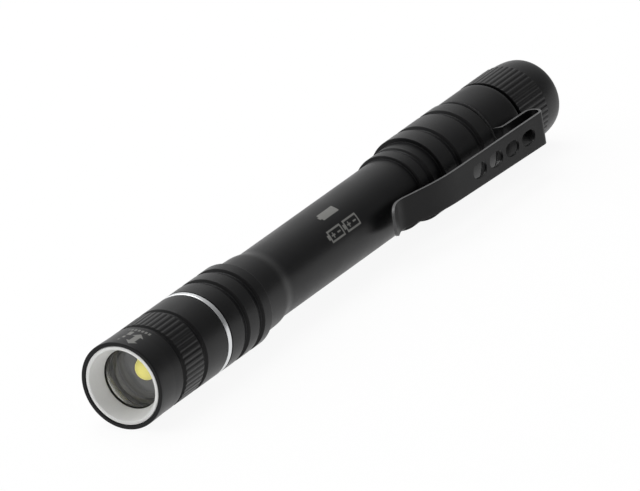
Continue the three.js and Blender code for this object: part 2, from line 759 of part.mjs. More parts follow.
function clipArm() {
  const sheet = bentSheet([
    ...arcPoints(bendCentre, BEND_RADIUS, 90 - BEND_OPEN_DEGREES / 2, 0, BEND_STEPS),
    new THREE.Vector2(kneeReach, atKnee),
    new THREE.Vector2(contactReach, atContact),
    new THREE.Vector2(tipReach, atTip),
  ], 2 * ARM_WIDTH);
  const reach = armReach + CLIP_SHEET;
  const plan = new THREE.ExtrudeGeometry(armPlan(), {
    depth: 2 * reach,
    curveSegments: HOLE_ARC_STEPS,
    bevelEnabled: false,
  });
  const along = new THREE.Vector3(0, 1, 0);
  const across = new THREE.Vector3(0, 0, 1);
  const outward = new THREE.Vector3(1, 0, 0);
  plan.applyMatrix4(new THREE.Matrix4().makeBasis(along, across, outward));
  return toGeometry(toSolid(sheet).intersect(toSolid(plan)));
}

// Finishes

function finish(color, roughness, metalness) {
  return new THREE.MeshStandardMaterial({ color, roughness, metalness });
}

const blackAnodised = finish(0x2b2b2d, 0.45, 0.6);
const blackSteel = finish(0x303032, 0.5, 0.6);
const brightMetal = finish(0xd0d2d4, 0.2, 1);
const bareAluminium = finish(0xa8aaad, 0.35, 1);
const whitePlastic = finish(0xeeeeea, 0.45, 0);
const blackRubber = finish(0x19191a, 0.8, 0);
const clearLens = finish(0xdfe4e6, 0.05, 0);
const emitterYellow = finish(0xe8c62e, 0.4, 0);
const emitterCeramic = finish(0xf2f2ec, 0.5, 0);
const boardBlack = finish(0x2c2d2e, 0.5, 0);
const boardGreen = finish(0x1f6b3a, 0.5, 0);
const brass = finish(0xc9a24a, 0.3, 1);
const springSteel = finish(0xb8babc, 0.3, 1);
const cellSleeve = finish(0x4a6a8a, 0.4, 0.2);
const switchPlastic = finish(0x242426, 0.5, 0);
const plungerPlastic = finish(0xdcdcd6, 0.5, 0);

const pieces = [
  ['head_shell', headShell(), blackAnodised],
  ['bezel_ring', bezelRing(), whitePlastic],
  ['lens_gasket', lensGasket(), blackRubber],
  ['lens', lens(), clearLens],
  ['head_stop_ring', headStopRing(), bareAluminium],
  ['led_carrier', ledCarrier(), bareAluminium],
  ['focus_o_ring', focusRing(), blackRubber],
  ['front_seal', frontSeal(), blackRubber],
  ['led_board', ledBoard(), boardBlack],
  ['led_base', ledBase(), emitterCeramic],
  ['led_dome', ledDome(), emitterYellow],
  ['driver_board', driverBoard(), boardGreen],
  ['front_contact', frontContact(), brass],
  ['trim_ring', trimRing(), brightMetal],
  ['barrel', barrel(), blackAnodised],
  ['front_cell', cell(atFrontCell), cellSleeve],
  ['rear_cell', cell(atRearCell), cellSleeve],
  ['tail_seal', tailSeal(), blackRubber],
  ['tail_cap', tailCap(), blackAnodised],
  ['switch_retainer', switchRetainer(), bareAluminium],
  ['button_washer', buttonWasher(), bareAluminium],
  ['button', button(), blackRubber],
  ['switch_body', switchBody(), switchPlastic],
  ['switch_plunger', switchPlunger(), plungerPlastic],
  ['switch_board', switchBoard(), boardGreen],
  ['tail_spring', tailSpring(), springSteel],
  ['clip_collar', clipCollar(), blackSteel],
  ['clip_arm', clipArm(), blackSteel],
];

// The origin is under the middle of the lying flashlight, on the surface that it lies on.
const clipSide = armReach + CLIP_SHEET / 2;
const flashlight = new THREE.Group();
flashlight.name = 'flashlight';
flashlight.position.set((lipRadius - clipSide) / 2, -atCapEnd / 2, lipRadius);
for (const [name, geometry, material] of pieces) {
  const mesh = new THREE.Mesh(geometry, material);
  mesh.name = name;
  flashlight.add(mesh);
}

const part = new THREE.Group();
part.add(flashlight);
console.log(`length ${atCapEnd.toFixed(2)} mm, head ${(2 * lipRadius).toFixed(2)} mm across`);

export default part;
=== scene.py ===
"""Black pocket flashlight with a sliding focus head, screw-on tail cap and pocket clip, on a pale floor."""

import math

import bmesh
import bpy
import numpy as np
from mathutils import Matrix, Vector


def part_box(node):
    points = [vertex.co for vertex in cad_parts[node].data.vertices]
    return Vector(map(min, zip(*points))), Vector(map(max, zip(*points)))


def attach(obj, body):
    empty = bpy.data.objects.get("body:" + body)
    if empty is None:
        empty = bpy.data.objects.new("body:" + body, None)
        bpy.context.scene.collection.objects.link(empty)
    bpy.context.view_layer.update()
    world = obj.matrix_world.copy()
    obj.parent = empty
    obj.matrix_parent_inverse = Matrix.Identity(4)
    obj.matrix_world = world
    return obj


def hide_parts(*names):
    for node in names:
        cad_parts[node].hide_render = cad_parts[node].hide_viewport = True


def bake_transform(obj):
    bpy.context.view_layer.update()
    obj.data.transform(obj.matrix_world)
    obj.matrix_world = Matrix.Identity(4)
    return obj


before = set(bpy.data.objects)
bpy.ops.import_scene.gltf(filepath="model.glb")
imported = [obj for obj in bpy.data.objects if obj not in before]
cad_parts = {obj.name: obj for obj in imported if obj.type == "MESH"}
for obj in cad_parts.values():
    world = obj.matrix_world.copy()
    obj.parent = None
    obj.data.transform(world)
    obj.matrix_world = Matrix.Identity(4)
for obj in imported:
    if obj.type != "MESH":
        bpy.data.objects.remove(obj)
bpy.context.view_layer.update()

MM = 0.001

# The flashlight's axis and its front lip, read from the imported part
cell_low, cell_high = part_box("front_cell")
AXIS_X = (cell_low[0] + cell_high[0]) / 2
AXIS_Z = (cell_low[2] + cell_high[2]) / 2
LIP_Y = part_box("head_shell")[0][1]
LIP_CENTRE = np.array([AXIS_X, LIP_Y, AXIS_Z])


def front(node):
    """Distance of a CAD node's front end from the lip, in millimetres."""
    return (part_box(node)[0][1] - LIP_Y) / MM


def rear(node):
    """Distance of a CAD node's rear end from the lip, in millimetres."""
    return (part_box(node)[1][1] - LIP_Y) / MM


def midway(node):
    """Distance of a CAD node's middle from the lip, in millimetres."""
    return (front(node) + rear(node)) / 2


def radius(node):
    """Largest radius of a turned CAD node, in millimetres."""
    low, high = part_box(node)
    return (high[2] - low[2]) / 2 / MM


def extent(node):
    """Radius, front end and rear end of a turned CAD node."""
    return radius(node), front(node), rear(node)


def on_axis(at, out=0.0):
    """Point in the row frame at a distance from the lip, and out from the axis on the clip's side."""
    return np.array([AXIS_X + out * MM, LIP_Y + at * MM, AXIS_Z])


# Sizes in millimetres that the part's boxes don't give
SEAT_GAP = 0.1
RUN_GAP = 0.3
LIP_RISE = 0.12
LIP_WIDTH, LIP_FADE = 0.8, 5.0
HEAD_GROOVE = 0.95
HEAD_GROOVE_DEPTH = 0.5
HEAD_FLUTES = 6.25
HEAD_BAND = 7.6
GROOVE = 1.5
GROOVE_DEPTH = 0.62
GROOVE_AHEAD, GROOVE_BEHIND = 0.1, 0.3
SLOPE = 0.3
FLUTES = 48
FLUTE_DEPTH = 0.1
FLUTE_ZONE = 0.6
STEP_RISE = 0.6
RIB_RISE = 0.8
BORE = 5.5
NECK_BORE = 5.75
NECK = 6.75
CAP_BORE = 7.05
CAP_FLUTES = 8.5
CAP_CROWN = 7.72
CAP_END = 6.92
FOCUS_SECTION, SEAL_SECTION = 0.8, 0.7
THREAD_PITCH = 1.0
THREAD_DEPTH = 0.32
THREAD_RAMP = 0.35
THREAD_ROWS = 56
SHEET = 0.5
COLLAR = 7.65
COLLAR_WIDTH = 9.7

# Roundings of corners in millimetres, from a barely broken one to a soft one
HAIR, FINE, SMALL, EDGE, SOFT, ROUND = 0.05, 0.08, 0.1, 0.12, 0.16, 0.2

# Columns round the axis, from a thin stud to a fluted sleeve
STUD_COLUMNS, INNER_COLUMNS, COLUMNS, LENS_COLUMNS, OUTER_COLUMNS, FLUTED_COLUMNS = 64, 96, 128, 160, 192, 480

LIP = radius("head_shell")
HEAD = LIP - LIP_RISE
RIB = radius("barrel")
STEP = RIB - RIB_RISE
TUBE = STEP - STEP_RISE
HEAD_REAR = rear("head_shell")
BARREL_FRONT = front("barrel")
COLLAR_FRONT = front("clip_collar")
COLLAR_REAR = COLLAR_FRONT + COLLAR_WIDTH
NECK_ROOT = COLLAR_REAR + 2 * SEAT_GAP
NECK_REAR = rear("barrel")


# Surfaces
ZERO_LENGTH = 1e-9
SAME_PLACE = 1e-6
WELD, SLIVER = 1e-7, 1e-8
SHARP = math.radians(35)
CURVE_POINTS = 5
LEAST_HALF_ANGLE, MOST_HALF_ANGLE = 0.05, 1.55
CUT_SHARE, GUARD_SHARE, GUARD = 0.42, 0.47, 0.06
SHALLOW, SHALLOW_SPAN = 0.4, 0.6
UV_LENGTH = 100


def linked(name, data):
    """New object of the scene."""
    obj = bpy.data.objects.new(name, data)
    bpy.context.scene.collection.objects.link(obj)
    return obj


def mesh_object(name, points, quads, uv=None, edge=None, weld=False):
    """Mesh from whole arrays: points in metres, quads as rows of four point numbers, uv for each quad corner
    and an edge value for each point. weld joins points that coincide, as at the pole of a turned surface."""
    mesh = bpy.data.meshes.new(name)
    mesh.vertices.add(len(points))
    mesh.vertices.foreach_set("co", np.asarray(points, np.float32).ravel())
    mesh.loops.add(quads.size)
    mesh.loops.foreach_set("vertex_index", quads.astype(np.int32).ravel())
    mesh.polygons.add(len(quads))
    mesh.polygons.foreach_set("loop_start", np.arange(0, quads.size, 4, dtype=np.int32))
    mesh.update(calc_edges=True)
    if uv is not None:
        layer = mesh.uv_layers.new(name="along")
        layer.data.foreach_set("uv", np.asarray(uv, np.float32).ravel())
    if edge is not None:
        mark = mesh.attributes.new("edge", "FLOAT", "POINT")
        mark.data.foreach_set("value", np.asarray(edge, np.float32))
    if weld:
        work = bmesh.new()
        work.from_mesh(mesh)
        bmesh.ops.remove_doubles(work, verts=work.verts, dist=WELD)
        bmesh.ops.dissolve_degenerate(work, edges=work.edges, dist=SLIVER)
        work.to_mesh(mesh)
        work.free()
    mesh.polygons.foreach_set("use_smooth", np.ones(len(mesh.polygons), bool))
    mesh.set_sharp_from_angle(angle=SHARP)
    mesh.update()
    return linked(name, mesh)


def grid_quads(rows, columns, wrap_rows, wrap_columns):
    """Quads of a grid of points, row by row, and the unwrapped row and column of each corner."""
    i = np.arange(rows if wrap_rows else rows - 1)
    j = np.arange(columns if wrap_columns else columns - 1)
    i, j = (a.ravel() for a in np.meshgrid(i, j, indexing="ij"))
    corner_row = np.stack([i, i, i + 1, i + 1], 1)
    corner_column = np.stack([j, j + 1, j + 1, j], 1)
    quads = (corner_row % rows) * columns + corner_column % columns
    return quads, corner_row, corner_column


def about_axis(r, at, angle):
    """Points in metres from a radius, a distance from the lip and an angle round the axis."""
    xyz = np.stack([AXIS_X + MM * r * np.cos(angle), LIP_Y + MM * at, AXIS_Z + MM * r * np.sin(angle)], -1)
    return xyz.reshape(-1, 3)


def rounded(profile):
    """Corner-rounded copy of a profile of (radius, at, rounding) corners. Each corner becomes a curve that
    leaves the corner's two sides where the rounding starts, with one more point beyond each end to keep the
    sides flat. Returns the points and an edge value: 1 at the middle of an outer rounding, -1 at that of an
    inner one, and less where the two sides lie nearly in line."""
    corners = np.array([c[:2] for c in profile], float)
    size = np.array([c[2] if len(c) > 2 else 0.0 for c in profile])
    back = np.roll(corners, 1, 0) - corners
    ahead = np.roll(corners, -1, 0) - corners
    back_length = np.maximum(np.linalg.norm(back, axis=1), ZERO_LENGTH)
    ahead_length = np.maximum(np.linalg.norm(ahead, axis=1), ZERO_LENGTH)
    back, ahead = back / back_length[:, None], ahead / ahead_length[:, None]
    half = np.arccos(np.clip((back * ahead).sum(1), -1, 1)) / 2
    room = np.minimum(back_length, ahead_length)
    slope = np.tan(np.clip(half, LEAST_HALF_ANGLE, MOST_HALF_ANGLE))
    cut = np.minimum(size / slope, CUT_SHARE * room)
    guard = np.minimum(cut + GUARD, GUARD_SHARE * room)
    t = np.linspace(0, 1, CURVE_POINTS)[None, :, None]
    curve = (
        corners[:, None]
        + (cut[:, None] * back)[:, None] * (1 - t) ** 2
        + (cut[:, None] * ahead)[:, None] * t**2
    )
    first, last = ((corners + guard[:, None] * way)[:, None] for way in (back, ahead))
    points = np.concatenate([first, curve, last], 1).reshape(-1, 2)
    bend = np.sign(back[:, 0] * ahead[:, 1] - back[:, 1] * ahead[:, 0]) * (size > 0)
    bend = bend * np.clip((np.pi - 2 * half - SHALLOW) / SHALLOW_SPAN, 0, 1)
    hump = np.concatenate([[0], 4 * t.ravel() * (1 - t.ravel()), [0]])
    edge = (bend[:, None] * hump[None]).ravel()
    if np.any(corners[:, 0] < ZERO_LENGTH):
        points, edge = points[1:-1], edge[1:-1]
    keep = np.append(True, np.linalg.norm(np.diff(points, axis=0), axis=1) > SAME_PLACE)
    return points[keep], edge[keep]


def turned(name, profile, columns=COLUMNS, flutes=None, thread=None):
    """Profile turned about the flashlight's axis: a point lies at radius times the cosine and sine of its
    angle, and at its distance from the lip. With flutes, the radius is at most that of a ring of
    round-bottomed cuts between two places. With thread, it drops by a wave that climbs one pitch for each
    turn between two places."""
    points, edge = rounded(profile)
    closed = not np.any(points[:, 0] < ZERO_LENGTH)
    ring = points[:, 0] * np.roll(points[:, 1], -1) - points[:, 1] * np.roll(points[:, 0], -1)
    if ring.sum() < 0:
        points, edge = points[::-1], -edge[::-1]
    if thread:
        start, end, surface = thread
        rows = np.linspace(start, end, THREAD_ROWS)
        on_surface = abs(points[:, 0] - surface) < SAME_PLACE
        after = np.flatnonzero(on_surface & (points[:, 1] < start)).max()
        extra = np.stack([np.full_like(rows, surface), rows], 1)
        points = np.insert(points, after + 1, extra, 0)
        edge = np.insert(edge, after + 1, np.zeros(len(rows)))
    angle = np.arange(columns) * 2 * np.pi / columns
    r = np.repeat(points[:, :1], columns, 1)
    at = np.repeat(points[:, 1:], columns, 1)
    if flutes:
        start, end, crest = flutes
        land, span, roundness = 0.25, 1.1, 0.8
        wave = np.cos(FLUTES * angle)[None]
        cutter = crest - FLUTE_DEPTH * np.clip((wave + land) / span, 0, 1) ** roundness
        zone = (at > start) & (at < end) & (r > crest - FLUTE_ZONE)
        r = np.where(zone, np.minimum(r, cutter), r)
    if thread:
        phase = (at - start) / THREAD_PITCH - angle[None] / (2 * np.pi)
        ramp = np.clip(np.minimum(at - start, end - at) / THREAD_RAMP, 0, 1)
        dip = THREAD_DEPTH * ramp * np.abs(2 * (phase % 1) - 1)
        r = np.where(abs(r - surface) < SAME_PLACE, r - dip, r)
    quads, row, column = grid_quads(len(points), columns, closed, True)
    uv = np.stack([column / columns, points[row % len(points), 1] / UV_LENGTH], -1)
    return mesh_object(name, about_axis(r, at, angle), quads, uv, np.repeat(edge, columns), weld=not closed)


def ring_profile(inner, outer, start, end, rounding):
    """Corners of a flat ring."""
    sides = [(inner, start), (outer, start), (outer, end), (inner, end)]
    return [(*side, rounding) for side in sides]


def groove_profile(surface, start, width, depth):
    """Corners of an open groove with sloped walls and soft edges, from front to rear."""
    first, last = start - GROOVE_AHEAD, start + width + GROOVE_BEHIND
    return [
        (surface, first, SOFT),
        (surface - depth, first + SLOPE, ROUND),
        (surface - depth, last - SLOPE, ROUND),
        (surface, last, SOFT),
    ]


def seal_groove(surface, node, section):
    """Corners of the groove that a sealing ring of a given section lies in."""
    floor, half, at = radius(node) - section - SEAT_GAP, section / 2 + SEAT_GAP, midway(node)
    return [(surface, at - half, HAIR), (floor, at - half), (floor, at + half), (surface, at + half, HAIR)]


def quarter(start_radius, start_at, end_radius, end_at, steps):
    """Points on a quarter of an ellipse that leaves the start along the axis and meets the end across it."""
    a = np.linspace(0, np.pi / 2, steps)
    r = end_radius + (start_radius - end_radius) * np.cos(a)
    r[-1] = end_radius
    return list(zip(r, start_at + (end_at - start_at) * np.sin(a)))


def crown(rim, rim_at, apex_at, steps):
    """Points on a round crown from its apex on the axis to its rim: an arc of the circle through both."""
    height = rim_at - apex_at
    curve = (rim**2 + height**2) / (2 * height)
    a = np.linspace(0, math.asin(rim / curve), steps)
    return list(zip(curve * np.sin(a), apex_at + curve * (1 - np.cos(a))))


def coil(name, start, length, outer, wire, turns):
    """Wire of round section along a helix about the axis. The section lies across the helix, and shrinks to
    a point at both ends, which closes them."""
    steps, sides = 320, 14
    share = np.concatenate([[0], np.linspace(0, 1, steps), [1]])
    size = np.concatenate([[0], np.full(steps, wire / 2), [0]])
    angle = share * turns * 2 * np.pi
    middle = (outer - wire) / 2
    rise = (length - wire) / (turns * 2 * np.pi)
    out = np.stack([np.cos(angle), 0 * angle, np.sin(angle)], -1)
    tangent = np.stack([-middle * np.sin(angle), np.full_like(angle, rise), middle * np.cos(angle)], -1)
    tangent /= np.linalg.norm(tangent, axis=1)[:, None]
    side = np.cross(out, tangent)
    centre = middle * out + np.stack([0 * angle, start + wire / 2 + share * (length - wire), 0 * angle], -1)
    a = np.arange(sides) * 2 * np.pi / sides
    section = np.cos(a)[None, :, None] * out[:, None] + np.sin(a)[None, :, None] * side[:, None]
    xyz = (centre[:, None] + size[:, None, None] * section) * MM + LIP_CENTRE
    quads, row, column = grid_quads(len(share), sides, False, True)
    uv = np.stack([column / sides, row / len(share)], -1)
    return mesh_object(name, xyz.reshape(-1, 3), quads, uv, weld=True)


# Materials
GRAIN_SIZE, GRAIN_HEIGHT, GRAIN_DISTANCE = 0.12, 0.2, 0.00005
CLOUD_SCALE, RUB_SCALE = 140.0, 900.0
CLOUD_SHARE, SPECK_SHARE = 0.6, 0.4
WORN = (0.3, 0.3, 0.31)
MARK_GREY, MARK_ROUGHER, MARK_RIM = (0.2, 0.2, 0.19), 0.15, 0.06
LENS_INDEX = 1.2


def feed(tree, node, inputs):
    """Gives inputs of a node, by socket name or number, a value or the socket that feeds them."""
    for key, value in dict(inputs).items():
        if isinstance(value, bpy.types.NodeSocket):
            tree.links.new(value, node.inputs[key])
        else:
            node.inputs[key].default_value = value


def put(tree, kind, inputs=(), **settings):
    """Adds a node with its settings and inputs."""
    node = tree.nodes.new(kind)
    for key, value in settings.items():
        setattr(node, key, value)
    feed(tree, node, inputs)
    return node


def calc(tree, operation, *values):
    """Output of a math node."""
    return put(tree, "ShaderNodeMath", enumerate(values), operation=operation).outputs[0]


def times(tree, first, second):
    """Product of two values."""
    return calc(tree, "MULTIPLY", first, second)


def mixed(tree, share, first, second):
    """Colour between two, by a share from 0 to 1."""
    node = put(tree, "ShaderNodeMix", {"Factor": share}, data_type="RGBA")
    for number, value in ((6, first), (7, second)):
        feed(tree, node, {number: value if isinstance(value, bpy.types.NodeSocket) else (*value, 1)})
    return node.outputs[2]


def ranged(tree, value, low, high, to_low, to_high):
    """Value carried from one range to another, and held at its ends."""
    limits = {"From Min": low, "From Max": high, "To Min": to_low, "To Max": to_high}
    return put(tree, "ShaderNodeMapRange", {"Value": value, **limits}).outputs[0]


def noise(tree, scale, detail, roughness):
    """Noise in the piece's own space."""
    place_in = put(tree, "ShaderNodeTexCoord").outputs["Object"]
    inputs = {"Vector": place_in, "Scale": scale, "Detail": detail, "Roughness": roughness}
    return put(tree, "ShaderNodeTexNoise", inputs).outputs[0]


def group(name, inputs, outputs):
    """Empty node group with float inputs and the outputs given as name and socket type."""
    tree = bpy.data.node_groups.new(name, "ShaderNodeTree")
    for title, value in inputs:
        tree.interface.new_socket(title, in_out="INPUT", socket_type="NodeSocketFloat").default_value = value
    for title, kind in outputs:
        tree.interface.new_socket(title, in_out="OUTPUT", socket_type=kind)
    return tree, tree.nodes.new("NodeGroupInput"), tree.nodes.new("NodeGroupOutput")


def make_grain():
    """Shared surface detail: a grain as a bumped normal, and a speck and a slow cloud from 0 to 1."""
    tree, given, made = group(
        "surface_grain",
        [("Size mm", GRAIN_SIZE), ("Height", GRAIN_HEIGHT)],
        [("Normal", "NodeSocketVector"), ("Speck", "NodeSocketFloat"), ("Cloud", "NodeSocketFloat")],
    )
    fine = noise(tree, calc(tree, "DIVIDE", 1 / MM, given.outputs["Size mm"]), 3.0, 0.6)
    slow = noise(tree, CLOUD_SCALE, 4.0, 0.55)
    bumped = {"Strength": given.outputs["Height"], "Distance": GRAIN_DISTANCE, "Height": fine}
    feed(tree, made, {
        "Normal": put(tree, "ShaderNodeBump", bumped).outputs[0],
        "Speck": ranged(tree, fine, 0.3, 0.7, 0.0, 1.0),
        "Cloud": ranged(tree, slow, 0.3, 0.7, 0.0, 1.0),
    })
    return tree


def make_wear():
    """Shared wear: how far an outer edge is rubbed, from the mesh's edge value and a broken-up noise."""
    tree, given, made = group("edge_wear", [("Amount", 0.5)], [("Wear", "NodeSocketFloat")])
    edge = put(tree, "ShaderNodeAttribute", attribute_name="edge").outputs["Fac"]
    broken = ranged(tree, noise(tree, RUB_SCALE, 5.0, 0.7), 0.35, 0.75, 0.1, 1.0)
    wear = times(tree, calc(tree, "MAXIMUM", edge, 0.0), broken)
    feed(tree, made, {"Wear": times(tree, wear, given.outputs["Amount"])})
    return tree


GRAIN = make_grain()
WEAR = make_wear()


def grained(tree, size=GRAIN_SIZE, height=GRAIN_HEIGHT):
    """Outputs of the shared surface detail, at a size in millimetres and a height."""
    return put(tree, "ShaderNodeGroup", {"Size mm": size, "Height": height}, node_tree=GRAIN).outputs


def material(name):
    """New material with its tree and a principled shader on the output."""
    mat = bpy.data.materials.new(name)
    mat.use_nodes = True
    tree = mat.node_tree
    tree.nodes.clear()
    shader = tree.nodes.new("ShaderNodeBsdfPrincipled")
    out = tree.nodes.new("ShaderNodeOutputMaterial")
    tree.links.new(shader.outputs[0], out.inputs["Surface"])
    return mat, tree, shader


def finish(name, dark, pale, rough, metallic=0.0, grain=GRAIN_SIZE, height=GRAIN_HEIGHT, wear=0.0,
           specular=0.5, marks=None, glow=0.0):
    """Finish that wanders between two tones and two roughnesses, grained, and rubbed at its edges. marks
    builds a mask that is painted pale grey. glow is a painted glow: emission on a part that is no lamp, in
    place of light falling on it."""
    mat, tree, shader = material(name)
    detail = grained(tree, grain, height)
    cloud = times(tree, detail["Cloud"], CLOUD_SHARE)
    speck = times(tree, detail["Speck"], SPECK_SHARE)
    colour = mixed(tree, calc(tree, "ADD", cloud, speck), dark, pale)
    roughness = ranged(tree, detail["Cloud"], 0.0, 1.0, *rough)
    if wear:
        rubbed = put(tree, "ShaderNodeGroup", {"Amount": wear}, node_tree=WEAR)
        colour = mixed(tree, rubbed.outputs[0], colour, WORN)
    if marks:
        mask = marks(tree)
        colour = mixed(tree, mask, colour, MARK_GREY)
        roughness = calc(tree, "ADD", roughness, times(tree, mask, MARK_ROUGHER))
    feed(tree, shader, {"Base Color": colour, "Roughness": roughness, "Normal": detail["Normal"],
                        "Metallic": metallic, "Specular IOR Level": specular})
    if glow:
        feed(tree, shader, {"Emission Color": colour, "Emission Strength": glow})
    return mat


def inside(tree, value, middle, half):
    """1 where a value lies within half of the middle, with a soft rim."""
    away = calc(tree, "ABSOLUTE", calc(tree, "SUBTRACT", value, middle))
    return ranged(tree, away, half - MARK_RIM, half + MARK_RIM, 1.0, 0.0)


def places(tree, at_radius):
    """Millimetres from the lip, and millimetres of arc round the axis from the clip's side over the top."""
    uv = put(tree, "ShaderNodeUVMap", uv_map="along").outputs[0]
    parts = put(tree, "ShaderNodeSeparateXYZ", {0: uv})
    along = times(tree, parts.outputs[1], UV_LENGTH)
    arc = times(tree, parts.outputs[0], 2 * math.pi * at_radius)
    return along, arc


def oblong(tree, along, up, middle, height, half_along, half_up):
    """1 inside an upright oblong of the unrolled surface."""
    return times(tree, inside(tree, along, middle, half_along), inside(tree, up, height, half_up))


def joined(tree, *masks):
    """The largest of several masks."""
    whole = masks[0]
    for more in masks[1:]:
        whole = calc(tree, "MAXIMUM", whole, more)
    return whole


# Marks in millimetres: the middle along and up, and half the length and the height of each oblong
ARROW_AT, ARROW_ANGLE = 3.05, math.radians(73.5)
ARROW_TIP, ARROW_NECK, ARROW_SLOPE, ARROW_RIM = 2.2, 1.0, 0.95, 0.05
ARROW_SHAFT = (1.15, 0.52)
DASHES = [(1.75, 2.5, 0.28, 0.16), (ARROW_AT, 2.2, 0.4, 0.24), (4.75, 1.9, 0.75, 0.4)]
TICK_ROW, TICK_PITCH, TICK_HALF, TICK_SHADE = (6.35, 0.9, 0.35, 2.2), 0.7, 0.3, 0.8
FILLED_CELL = [(68.5, 7.7, 2.6, 0.85), (65.7, 7.7, 0.3, 0.35)]
DRAWN_CELLS_AT, DRAWN_CELLS_UP = (65.75, 71.15), 3.65
CELL_OUTER, CELL_INNER = (2.25, 1.2), (1.9, 0.85)
# Stud, the two bars of the plus and the minus: the place from the cell's middle and the half sizes
CELL_SIGNS = [(-2.5, 0.3, 0.5), (-0.95, 0.55, 0.15), (-0.95, 0.15, 0.55), (0.95, 0.5, 0.15)]


def focus_marks(tree):
    """Double arrow along the axis, three dashes beside it that grow rearward, and a row of ticks behind."""
    along, arc = places(tree, HEAD)
    up = calc(tree, "SUBTRACT", arc, ARROW_ANGLE * HEAD)
    away = calc(tree, "ABSOLUTE", calc(tree, "SUBTRACT", along, ARROW_AT))
    beside = calc(tree, "ABSOLUTE", up)
    shaft = oblong(tree, along, up, ARROW_AT, 0.0, *ARROW_SHAFT)
    room = times(tree, calc(tree, "SUBTRACT", ARROW_TIP, away), ARROW_SLOPE)
    under_slope = ranged(tree, calc(tree, "SUBTRACT", room, beside), -ARROW_RIM, ARROW_RIM, 0.0, 1.0)
    past_neck = ranged(tree, away, ARROW_NECK - ARROW_RIM, ARROW_NECK + ARROW_RIM, 0.0, 1.0)
    head = times(tree, under_slope, past_neck)
    dashes = [oblong(tree, along, up, *dash) for dash in DASHES]
    pattern = calc(tree, "FRACT", calc(tree, "DIVIDE", up, TICK_PITCH))
    tick = inside(tree, pattern, 0.5, TICK_HALF)
    ticks = times(tree, tick, oblong(tree, along, up, *TICK_ROW))
    return joined(tree, shaft, head, *dashes, times(tree, ticks, TICK_SHADE))


def cell_marks(tree):
    """Pictures of cells on the tube: a filled one, and below it two outlined ones with plus and minus."""
    along, arc = places(tree, TUBE)
    masks = [oblong(tree, along, arc, *mark) for mark in FILLED_CELL]
    for middle in DRAWN_CELLS_AT:
        whole = oblong(tree, along, arc, middle, DRAWN_CELLS_UP, *CELL_OUTER)
        hollow = oblong(tree, along, arc, middle, DRAWN_CELLS_UP, *CELL_INNER)
        masks.append(calc(tree, "SUBTRACT", whole, hollow))
        for away, *half in CELL_SIGNS:
            masks.append(oblong(tree, along, arc, middle + away, DRAWN_CELLS_UP, *half))
    return joined(tree, *masks)


def glass(name):
    """Clear lens with a faint haze. It bends light less than a real one, which would show the white cone as
    a bright ring."""
    mat, tree, shader = material(name)
    detail = grained(tree, 0.8, 0.01)
    feed(tree, shader, {
        "Roughness": ranged(tree, detail["Cloud"], 0.0, 1.0, 0.01, 0.05),
        "Base Color": mixed(tree, detail["Cloud"], (0.93, 0.95, 0.96), (0.96, 0.97, 0.97)),
        "Normal": detail["Normal"],
        "Transmission Weight": 1.0,
        "IOR": LENS_INDEX,
        "Coat Weight": 1.0,
        "Coat Roughness": 0.04,
    })
    return mat


def sleeve(name):
    """Plain sleeve of a cell: a dark body with a copper-toned band at the stud end."""
    mat, tree, shader = material(name)
    detail = grained(tree)
    along, _ = places(tree, radius("front_cell"))
    first, second = front("front_cell"), front("rear_cell")
    length, rim = 13.0, 0.05
    near = ranged(tree, along, first + length, first + length + rim, 1.0, 0.0)
    begun = ranged(tree, along, second - rim, second, 0.0, 1.0)
    ended = ranged(tree, along, second + length, second + length + rim, 1.0, 0.0)
    band = calc(tree, "MAXIMUM", near, times(tree, begun, ended))
    body = mixed(tree, detail["Cloud"], (0.02, 0.022, 0.026), (0.03, 0.032, 0.036))
    feed(tree, shader, {
        "Base Color": mixed(tree, band, body, (0.55, 0.27, 0.12)),
        "Roughness": ranged(tree, detail["Cloud"], 0.0, 1.0, 0.25, 0.35),
        "Metallic": times(tree, band, 0.8),
        "Normal": detail["Normal"],
    })
    return mat


def grey(level, green=0.0, blue=0.001):
    """Grey with a little more green and blue."""
    return level, level + green, level + blue


